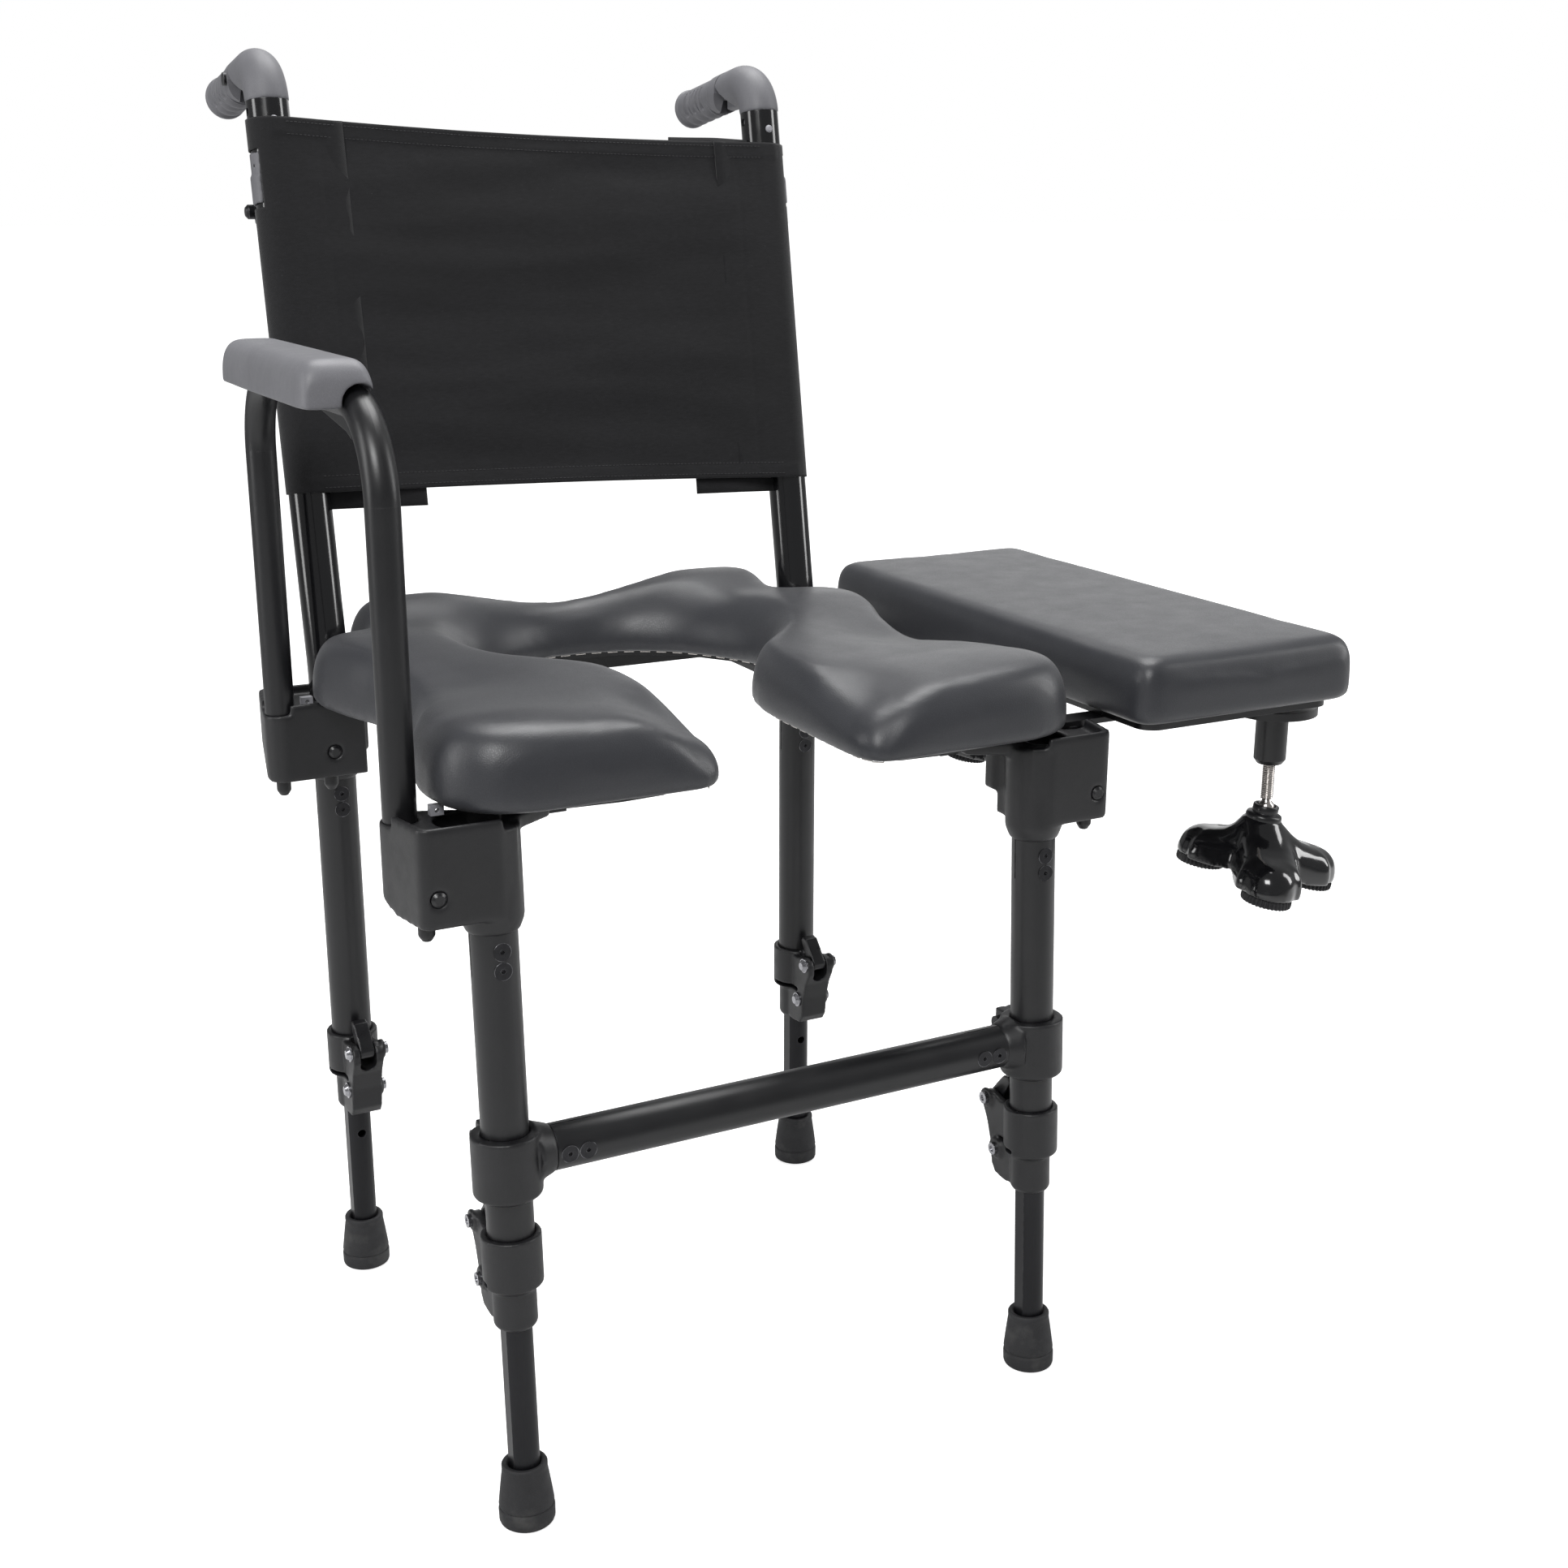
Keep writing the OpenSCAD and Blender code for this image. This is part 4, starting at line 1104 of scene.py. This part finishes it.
def sag(x):
    return 0.0055 * (1 - (x / POST_X) ** 2)


def sling_profile():
    """(x, y) from the left sleeve's inner edge round both tubes to the right one's."""
    left = [(x, -SLEEVE_R + y) for x, y in SLEEVE_RETURN]
    for degrees in np.linspace(-8, 270, 46):
        a = math.radians(degrees)
        left.append((-POST_X + SLEEVE_R * math.cos(a), SLEEVE_R * math.sin(a)))
    middle = [(x, -SLEEVE_R) for x in np.linspace(-0.2045, 0.2045, 200)]
    return np.array(left + middle + [(-x, y) for x, y in left[::-1]])


def sling_points(profile):
    """Points[along the profile][up the back], with folds, sag, hems and seams."""
    up = np.linspace(0, 1, PANEL_ROWS)
    across = profile[:, 0]
    middle = np.maximum(0, 1 - (across / 0.195) ** 2)
    skew = -across / SKEW_HALF
    top = SLING_HIGH + 0.0075 * skew - 0.0015 * middle
    bottom = SLING_LOW + 0.007 * skew + 0.002 * middle
    height = bottom[:, None] + (top - bottom)[:, None] * up
    points = np.dstack(np.broadcast_arrays(profile[:, :1], profile[:, 1:], height))
    q = points.reshape(-1, 3).copy()
    x, z = q[:, 0], q[:, 2]
    side = np.abs(x)
    front = np.repeat(profile[:, 1] < FRONT_LIMIT, PANEL_ROWS)
    loose = np.clip(1 - (side / 0.2) ** 4, 0, 1) * front
    folds = fractal(q, (1.7, 0, 12.0), seed=3.7, octaves=3)
    fine = fractal(q, (11.0, 0, 34.0), seed=9.1, octaves=2)
    slanted = np.column_stack([x + 0.55 * (z - 0.27) * np.sign(x), x * 0, z - 0.35 * side])
    pull = fractal(slanted, (16, 0, 20), seed=1.3, octaves=2) * rise(side, 0.09, 0.19)
    q[:, 1] += loose * (sag(x) + 0.0062 * folds + 0.0009 * fine + 0.0014 * pull)
    # hems: a doubled band at the top and the bottom
    tall = SLING_HIGH - SLING_LOW
    top_hem = np.minimum(1, np.maximum(0, 1 - np.abs(up - 1) * tall / 0.0135) * 9)
    low_hem = np.minimum(1, np.maximum(0, 1 - up * tall / 0.012) * 9)
    q[:, 1] -= 0.0006 * np.tile(np.maximum(top_hem, low_hem), len(profile)) * front
    # seam where each sleeve is sewn to the panel
    for seam_x in (-0.176, 0.176):
        q[:, 1] += front * 0.0003 * bell(x, seam_x, 0.0016)
    return q.reshape(points.shape)


def sling_fabric(profile, points):
    faces = []
    for i in range(len(profile) - 1):
        x, y = (profile[i] + profile[i + 1]) / 2
        sleeve = abs(x) > 0.19 and y > -0.0112
        for j in range(PANEL_ROWS - 1):
            z = (points[i, j, 2] + points[i, j + 1, 2]) / 2
            # each sleeve is cut away round the saddle clip
            if not (sleeve and CUT_LOW < z < CUT_HIGH):
                a, b = i * PANEL_ROWS + j, (i + 1) * PANEL_ROWS + j
                faces.append((a, b, b + 1, a + 1))
    ob = mesh_obj("back_sling_fabric", points.reshape(-1, 3), faces)
    edit(ob, lambda bm: bmesh.ops.delete(
        bm, geom=[v for v in bm.verts if not v.link_faces], context="VERTS"))
    thicken(ob, 0.0012)
    ob.data.transform(BACK)
    place(ob, "backrest", "sling_fabric", replaces="back_sling")


def sling_stitching(profile, points):
    """Two rows of stitches along each hem."""
    half_length, bulge, radius, pitch, proud = 0.0012, 0.0002, 0.00032, 0.0032, 0.00075
    b = Build()
    for from_edge in (0.0035, 0.0125):
        for x in np.arange(-0.2, 0.2, pitch):
            miss = np.abs(profile[:, 0] - x) + (profile[:, 1] > FRONT_LIMIT) * 10
            column = points[int(np.argmin(miss))]
            for z in (column[-1, 2] - from_edge, column[0, 2] + from_edge):
                y = column[int(np.argmin(np.abs(column[:, 2] - z))), 1] - proud
                rings = []
                for t, share in ((-1, 0.35), (-0.6, 1), (0.6, 1), (1, 0.35)):
                    r = radius * share
                    ring_y = y - bulge * (1 - t * t)
                    rings.append([(x + t * half_length, ring_y - r * math.sin(a),
                                   z - r * math.cos(a)) for a in circle_angles(6)])
                b.loft(rings)
    ob = b.obj("back_sling_stitching")
    ob.data.transform(BACK)
    place(ob, "backrest", "sling_fabric", THREAD)


def sling_flaps():
    """A flap behind the panel at each side."""
    b = Build()
    for sign in (-1, 1):
        rows = []
        for x in np.linspace(0.205, 0.118, 30):
            z0 = SLING_LOW - 0.012 + 0.006 * (-sign * x / SKEW_HALF)
            z1 = SLING_HIGH - 0.002
            row = []
            for t in np.linspace(0, 1, 60):
                z = z0 + (z1 - z0) * t
                y = -SLEEVE_R + 0.0045 + 0.010 * rise(x, 0.150, 0.205) + sag(x)
                y += 0.0012 * noise.noise(Vector((x * 30, sign * 3.0, z * 22)))
                row.append((sign * x, y, z))
            rows.append(row)
        b.grid(rows, flip=sign < 0)
    ob = b.obj("back_sling_flaps")

    def at_clip(face):
        centre = face.calc_center_median()
        return CUT_LOW < centre.z < CUT_HIGH and abs(centre.x) > 0.184
    edit(ob, lambda bm: bmesh.ops.delete(
        bm, geom=[f for f in bm.faces if at_clip(f)], context="FACES"))
    thicken(ob, 0.0016)
    ob.data.transform(BACK)
    place(ob, "backrest", "sling_fabric")


def strap_rings(z, phase):
    """A flat band across the back, a little wavy."""
    half_width, half_thick, half_span = 0.0125, 0.0010, 0.150
    rings = []
    for x in np.linspace(-half_span, half_span, 80):
        y = (-SLEEVE_R + 0.0068 + sag(x) + 0.0016 * bell(x, -0.02, 0.03)
             + 0.0022 * (1 - abs(x) / half_span))
        wave = 0.0006 * math.sin(x * 40 + phase)
        rings.append([(x, y + half_thick * signed_power(math.sin(a), 0.6),
                       z + half_width * signed_power(math.cos(a), 0.35) + wave)
                      for a in circle_angles(14)])
    return rings


def buckle_rings(x, y, z, half_width, half_length, half_thick):
    rings = []
    for u in np.linspace(-1, 1, 9):
        taper = 1 - abs(u) ** 4 * 0.16
        rings.append([(x + u * half_length,
                       y + half_thick * signed_power(math.sin(a), 0.5) * taper,
                       z + half_width * taper * signed_power(math.cos(a), 0.4))
                      for a in circle_angles(20)])
    return rings


def sling_straps():
    """Three tension straps behind the panel, each with a two-part buckle."""
    straps, buckles = Build(), Build()
    buckle_y = -SLEEVE_R + 0.0068 + 0.0055 + 0.0035
    for n, rise_z in enumerate((0.028, 0.140, 0.236)):
        z = SLING_LOW + rise_z
        straps.loft(strap_rings(z, phase=n))
        x = -0.03 + 0.02 * n
        buckles.loft(buckle_rings(x, buckle_y, z, half_width=0.0165, half_length=0.020,
                                  half_thick=0.0045))
        buckles.loft(buckle_rings(x + 0.026, buckle_y, z, half_width=0.0155,
                                  half_length=0.012, half_thick=0.0036))
    ob = straps.obj("back_tension_straps")
    ob.data.transform(BACK)
    place(ob, "backrest", "sling_fabric", WEBBING)
    ob = buckles.obj("back_strap_buckles", sharp=40)
    ob.data.transform(BACK)
    place(ob, "backrest", "lever_plastic")


def sling():
    profile = sling_profile()
    points = sling_points(profile)
    sling_fabric(profile, points)
    sling_stitching(profile, points)
    sling_flaps()
    sling_straps()


sling()


# ------------------------------------------------------------------ push handle grips
GRIP_START, GRIP_END = -0.0070, 0.0762
GRIP_R = 0.0153
GROOVE_START, GROOVE_END, GROOVE_PITCH = 0.014, 0.072, 0.0152
SLIT_CENTRES = np.arange(0.026, 0.061, 0.0078)
SLIT_HALF, SLIT_DEPTH = 0.0018, 0.0028


def grip_radius(y, across, up):
    """Radius at y along the grip, in the direction (across, up)."""
    r = GRIP_R
    # root collar and end flange
    r += 0.0009 * (1 - rise(y, 0.008, 0.011)) + 0.0011 * rise(y, 0.0705, 0.0725)
    r -= 0.0022 * rise(y, 0.0745, GRIP_END) ** 2
    # finger grooves underneath
    under = max(0.0, -up) ** 1.2
    if GROOVE_START < y < GROOVE_END:
        wave = math.cos((y - GROOVE_START) / GROOVE_PITCH * 2 * math.pi)
        r += under * (0.0016 * wave - 0.0006)
    # slits on both sides
    if abs(across) > 0.76 and abs(up) < 0.62:
        share = rise(abs(across), 0.76, 0.82)
        for centre in SLIT_CENTRES:
            if abs(y - centre) < SLIT_HALF:
                r -= SLIT_DEPTH * share * (1 - (abs(y - centre) / SLIT_HALF) ** 4)
    return r


def grip(side):
    ny, na = 190, 96
    rows = np.zeros((ny, na, 3))
    for i, y in enumerate(np.linspace(GRIP_START, GRIP_END, ny)):
        for k in range(na):
            a = 2 * math.pi * k / na
            across, up = math.cos(a), math.sin(a)
            r = grip_radius(y, across, up)
            rows[i, k] = (r * across, y, r * up * (1.03 if up > 0 else 1.0))
    b = Build().grid(rows, close_v=True, flip=True)
    b.fan(rows[0].mean(axis=0), 0, na)
    b.fan(rows[-1].mean(axis=0), (ny - 1) * na, na, flip=True)
    ob = b.obj("hand_grip_" + side)
    face_outward(ob)
    # slot for the hinge tongue and a chamfered root underneath
    slot = box_obj("c1", (-0.0053, 0.0053), (-0.02, 0.009), (-0.03, 0.0064), smooth=False)
    chamfer = [(-0.03, -0.001), (-0.0072, -0.001), (0.0085, -0.020), (-0.03, -0.020)]
    wedge = mesh_obj("c2", [(x, y, z) for x in (-0.03, 0.03) for y, z in chamfer],
                     [(0, 3, 2, 1), (4, 5, 6, 7), (0, 1, 5, 4), (1, 2, 6, 5), (2, 3, 7, 6),
                      (3, 0, 4, 7)], smooth=False)
    carve(ob, slot, wedge)
    ob.data.set_sharp_from_angle(angle=math.radians(38))
    ob.data.transform(grip_frame(side))
    place(ob, "grip_" + side, "grip_grey", replaces="handle_grip_" + side)


for side_name in SIDES:
    grip(side_name)


# ------------------------------------------------------------------ threaded rods
def rod(end):
    pitch, rows_per_turn, n = 0.0015, 8, 40
    root_radius, thread_depth = 0.00425, 0.00072
    tip_chamfer = 0.0012
    lo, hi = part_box("leveling_rod_" + end)
    cx, cy = (lo[0] + hi[0]) / 2, (lo[1] + hi[1]) / 2
    ball = JOINTS["foot_%s_tilt" % end]["pos_m"][2]
    z0, z1 = ball + 0.0085, hi[2]
    rows = int((z1 - z0) / pitch * rows_per_turn)
    rings = []
    for i in range(rows + 1):
        z = z0 + (z1 - z0) * i / rows
        ring = []
        for k in range(n):
            a = 2 * math.pi * k / n
            crest = abs(2 * ((z / pitch - k / n) % 1.0) - 1)
            r = root_radius + thread_depth * min(1, max(0, (crest - 0.12) / 0.76))
            r *= min(1, 0.86 + 0.14 * (z1 - z) / tip_chamfer)
            ring.append((cx + r * math.cos(a), cy + r * math.sin(a), z))
        rings.append(ring)
    b = Build().grid(rings, close_v=True)
    b.fan((cx, cy, z1), rows * n, n)
    b.fan((cx, cy, z0), 0, n, flip=True)
    # the ball and its neck: (radius, height)
    b.revolve([(0, ball - 0.0070), (0.0030, ball - 0.0063), (0.0050, ball - 0.0049),
               (0.0065, ball - 0.0026), (0.0070, ball), (0.0062, ball + 0.0032),
               (0.0046, ball + 0.0052), (0.0036, ball + 0.0062), (0.0036, z0 + 0.0005),
               (0, z0 + 0.0005)], n, Matrix.Translation((cx, cy, 0)))
    place(b.obj("threaded_rod_" + end), "rod_" + end, "stainless",
          replaces="leveling_rod_" + end)


# ------------------------------------------------------------------ tripod feet
# Built about the ball joint, z up, then tilted.
TILT_X, TILT_Y = 0.4645, 0.8856           # the axis of the tilt; the body also leans across it
TOE_ANGLES = [math.radians(-3.5 + 120 * k) for k in range(3)]
TOE_REACH, TOE_R, WEB_HALF = 0.0505, 0.0205, 0.0255
FOOT_BASE = -0.0560
FOOT_HUB = -0.0065
FOOT_HOLLOW = 0.012               # height of the hollow under the middle
# the top's height at each distance from the axis
FOOT_RADII = [0, 0.0138, 0.018, 0.024, 0.032, 0.042, 0.052, 0.075]
FOOT_TOPS = [FOOT_HUB, -0.0075, -0.0125, -0.0190, -0.0245, -0.0280, -0.0300, -0.0340]
# (radius, height) pairs of the cutter and the turned parts
SOCKET = [(0, -0.0075), (0.0045, -0.0063), (0.0071, -0.001), (0.0074, 0.004), (0.0074, 0.02),
          (0, 0.02)]
NUT_RING = [(0.0078, -0.004), (0.0100, -0.004), (0.0102, -0.0035), (0.0102, 0.0022),
            (0.0097, 0.0028), (0.0080, 0.0028), (0.0076, 0.0022), (0.0076, -0.004)]
COLLAR = [(0.0082, -0.0095), (0.0140, -0.0095), (0.0143, -0.0088), (0.0142, -0.0060),
          (0.0136, -0.0045), (0.0112, -0.0034), (0.0082, -0.0034)]
TOE_PAD = [(0, -0.0618), (0.012, -0.0618), (0.0178, -0.0618), (0.0186, -0.0612),
           (0.0189, -0.0600), (0.0189, -0.0575), (0.0185, -0.0560), (0.0178, -0.0550),
           (0.0150, -0.0500), (0.0, -0.0480)]


def tripod_outline(n):
    """(x, y) round three toes joined by webs."""
    radii = []
    for i in range(n):
        angle = 2 * math.pi * i / n
        best = 0.0
        for toe in TOE_ANGLES:
            off = abs((angle - toe + math.pi) % (2 * math.pi) - math.pi)
            sideways = TOE_REACH * math.sin(off)
            if sideways < TOE_R and off < 1.2:
                r = TOE_REACH * math.cos(off) + math.sqrt(TOE_R ** 2 - sideways ** 2)
            else:
                r = WEB_HALF / max(math.sin(min(off, math.pi / 2)), 0.2)
            best = max(best, min(r, TOE_REACH + TOE_R))
        radii.append(best)
    for _ in range(3):
        radii = [(radii[i - 1] + 2 * radii[i] + radii[(i + 1) % n]) / 4 for i in range(n)]
    angles = np.arange(n) * 2 * math.pi / n
    return np.column_stack([np.array(radii) * np.cos(angles), np.array(radii) * np.sin(angles)])


def tripod_body(end, matrix):
    n, rings = 192, 34
    outline = tripod_outline(n)
    plan = (outline[None] * np.linspace(0.04, 1, rings)[:, None, None]).reshape(-1, 2)
    r = np.hypot(plan[:, 0], plan[:, 1])
    edge = np.clip(dist_to(plan, outline, closed=True) / 0.0165, 0, 1)
    crown = np.interp(r, FOOT_RADII, FOOT_TOPS)
    top_z = FOOT_BASE + (crown - FOOT_BASE) * (0.30 + 0.70 * dome(edge, power=2.3, root=0.55))
    low_z = FOOT_BASE + FOOT_HOLLOW * bell(r, 0, 0.026)
    top = np.column_stack([plan, top_z]).reshape(rings, n, 3)
    low = np.column_stack([plan, low_z]).reshape(rings, n, 3)
    b = Build().grid(np.concatenate([low, top[::-1]]), close_v=True)
    b.fan((0, 0, FOOT_BASE + FOOT_HOLLOW), 0, n, flip=True)
    b.fan((0, 0, FOOT_HUB), (2 * rings - 1) * n, n)
    ob = b.obj("tripod_foot_body_" + end)
    face_outward(ob)
    remesh(ob, 0.0016)
    smooth(ob, 8, factor=0.6)
    v = get_v(ob)
    v[:, 2] = np.maximum(v[:, 2], FOOT_BASE - 0.0004)
    lean = 0.008 * np.clip((-0.0105 - v[:, 2]) / 0.022, 0, 1)
    v[:, 0] += TILT_Y * lean
    v[:, 1] -= TILT_X * lean
    set_v(ob, v)
    carve(ob, Build().revolve(SOCKET, 40).obj("cut"))
    ob.data.transform(matrix)
    place(ob, "foot_" + end, "foot_gloss", replaces="tripod_foot_" + end)


def tripod_collar(end, matrix):
    ob = Build().revolve(NUT_RING, 48).revolve(COLLAR, 64).obj("tripod_collar_" + end)
    ob.data.transform(matrix)
    place(ob, "foot_" + end, "foot_gloss", MATERIALS["lever_plastic"])


def tripod_pads(end, matrix):
    """A ribbed pad under each toe."""
    n, rib = 144, 0.00075
    b = Build()
    for toe in TOE_ANGLES:
        cx = TOE_REACH * math.cos(toe) + 0.0071
        cy = TOE_REACH * math.sin(toe) - 0.0037
        first = len(b.v) + 1
        b.revolve(TOE_PAD, n, Matrix.Translation((cx, cy, 0)))
        # ribs round the rim
        for j, (r, z) in enumerate(TOE_PAD[1:-1]):
            if r > 0.0175 and z < -0.0555:
                for q in range(n):
                    a = 2 * math.pi * q / n
                    ribbed = r + rib * (1 if (q // 2) % 2 else -1)
                    b.v[first + j * n + q] = (cx + ribbed * math.cos(a),
                                              cy + ribbed * math.sin(a), z)
    ob = b.obj("tripod_pads_" + end, sharp=35)
    ob.data.transform(matrix)
    place(ob, "foot_" + end, "rubber")


def tripod(end):
    tilt = Matrix.Rotation(math.radians(10), 4, Vector((TILT_X, TILT_Y, 0)))
    matrix = Matrix.Translation(Vector(JOINTS["foot_%s_tilt" % end]["pos_m"])) @ tilt
    tripod_body(end, matrix)
    tripod_collar(end, matrix)
    tripod_pads(end, matrix)


for end_name in ("front", "rear"):
    rod(end_name)
    tripod(end_name)


# ------------------------------------------------------------------ stage
def floor():
    """A pale floor that glows to the camera, more so far out."""
    half, z = 60, -0.0004
    ob = mesh_obj("floor", [(-half, -half, z), (half, -half, z), (half, half, z),
                            (-half, half, z)], [(0, 1, 2, 3)], smooth=False)
    m = Mat("pale_floor", (0.72, 0.72, 0.72, 1), roughness=0.9, specular=0.1)
    m.vary(scale=0.7, low=0.99, high=1.01)
    m.bsdf.inputs["Emission Color"].default_value = (1, 1, 1, 1)
    rays = m.node("ShaderNodeLightPath")
    far = m.node("ShaderNodeVectorMath", operation="LENGTH")
    m.link(m.coord, far.inputs[0])
    glow = m.ramp(far.outputs["Value"], start=1.2, end=3.5)
    glow_near, glow_gain = 0.70, 0.35
    glow = m.math("ADD", m.math("MULTIPLY", glow, glow_gain), glow_near)
    seen = m.math("MULTIPLY", rays.outputs["Is Camera Ray"], glow)
    m.link(seen, m.bsdf.inputs["Emission Strength"])
    ob.data.materials.append(m.done())


def world():
    """White to the camera, dim and slightly cool as light."""
    studio = bpy.data.worlds.new("studio")
    scene.world = studio
    studio.use_nodes = True
    tree = studio.node_tree
    tree.nodes.clear()
    output = tree.nodes.new("ShaderNodeOutputWorld")
    mix = tree.nodes.new("ShaderNodeMixShader")
    rays = tree.nodes.new("ShaderNodeLightPath")

    def background(color, strength):
        node = tree.nodes.new("ShaderNodeBackground")
        node.inputs[0].default_value = color
        node.inputs[1].default_value = strength
        return node.outputs[0]
    seen = background(color=(1, 1, 1, 1), strength=1.0)
    ambient = background(color=(0.98, 0.99, 1.0, 1), strength=0.27)
    tree.links.new(rays.outputs["Is Camera Ray"], mix.inputs[0])
    tree.links.new(ambient, mix.inputs[1])
    tree.links.new(seen, mix.inputs[2])
    tree.links.new(mix.outputs[0], output.inputs[0])


def area(name, at, target, size, power, size_y=None):
    light = bpy.data.lights.new(name, "AREA")
    light.shape = "RECTANGLE" if size_y else "SQUARE"
    light.size = size
    if size_y:
        light.size_y = size_y
    light.energy = power
    ob = bpy.data.objects.new(name, light)
    ob.location = at
    aim = Vector(target) - Vector(at)
    ob.rotation_euler = aim.to_track_quat("-Z", "Y").to_euler()
    scene.collection.objects.link(ob)
    return ob


def lights():
    middle = (0, 0, 0.5)
    area("key", at=(-1.6, -1.8, 2.6), target=middle, size=1.2, power=62)
    area("top", at=(0.5, 0.7, 2.9), target=middle, size=1.8, power=66)
    area("right", at=(2.6, -0.9, 1.5), target=middle, size=0.7, power=26, size_y=1.8)
    area("left", at=(-2.6, 0.4, 1.3), target=middle, size=0.7, power=22, size_y=1.8)
    sheen = area("sheen", at=(2.4, 2.9, 1.45), target=(0.2, 0, 0.55), size=2.4, power=13)
    sheen.visible_camera = False


def camera():
    data = bpy.data.cameras.new("cam")
    data.sensor_width = 36
    data.lens = 45.39
    data.clip_start = 0.05
    ob = bpy.data.objects.new("cam", data)
    right = Vector((0.8856, -0.4645, 0.0023)).normalized()
    forward = Vector((0.4458, 0.8486, -0.2848)).normalized()
    up = right.cross(forward).normalized()
    right = forward.cross(up).normalized()
    ob.matrix_world = axes_matrix(Vector((-0.5969, -1.3243, 0.8787)), right, up, -forward)
    scene.collection.objects.link(ob)
    scene.camera = ob
    scene.view_settings.view_transform = "Standard"


floor()
world()
lights()
camera()
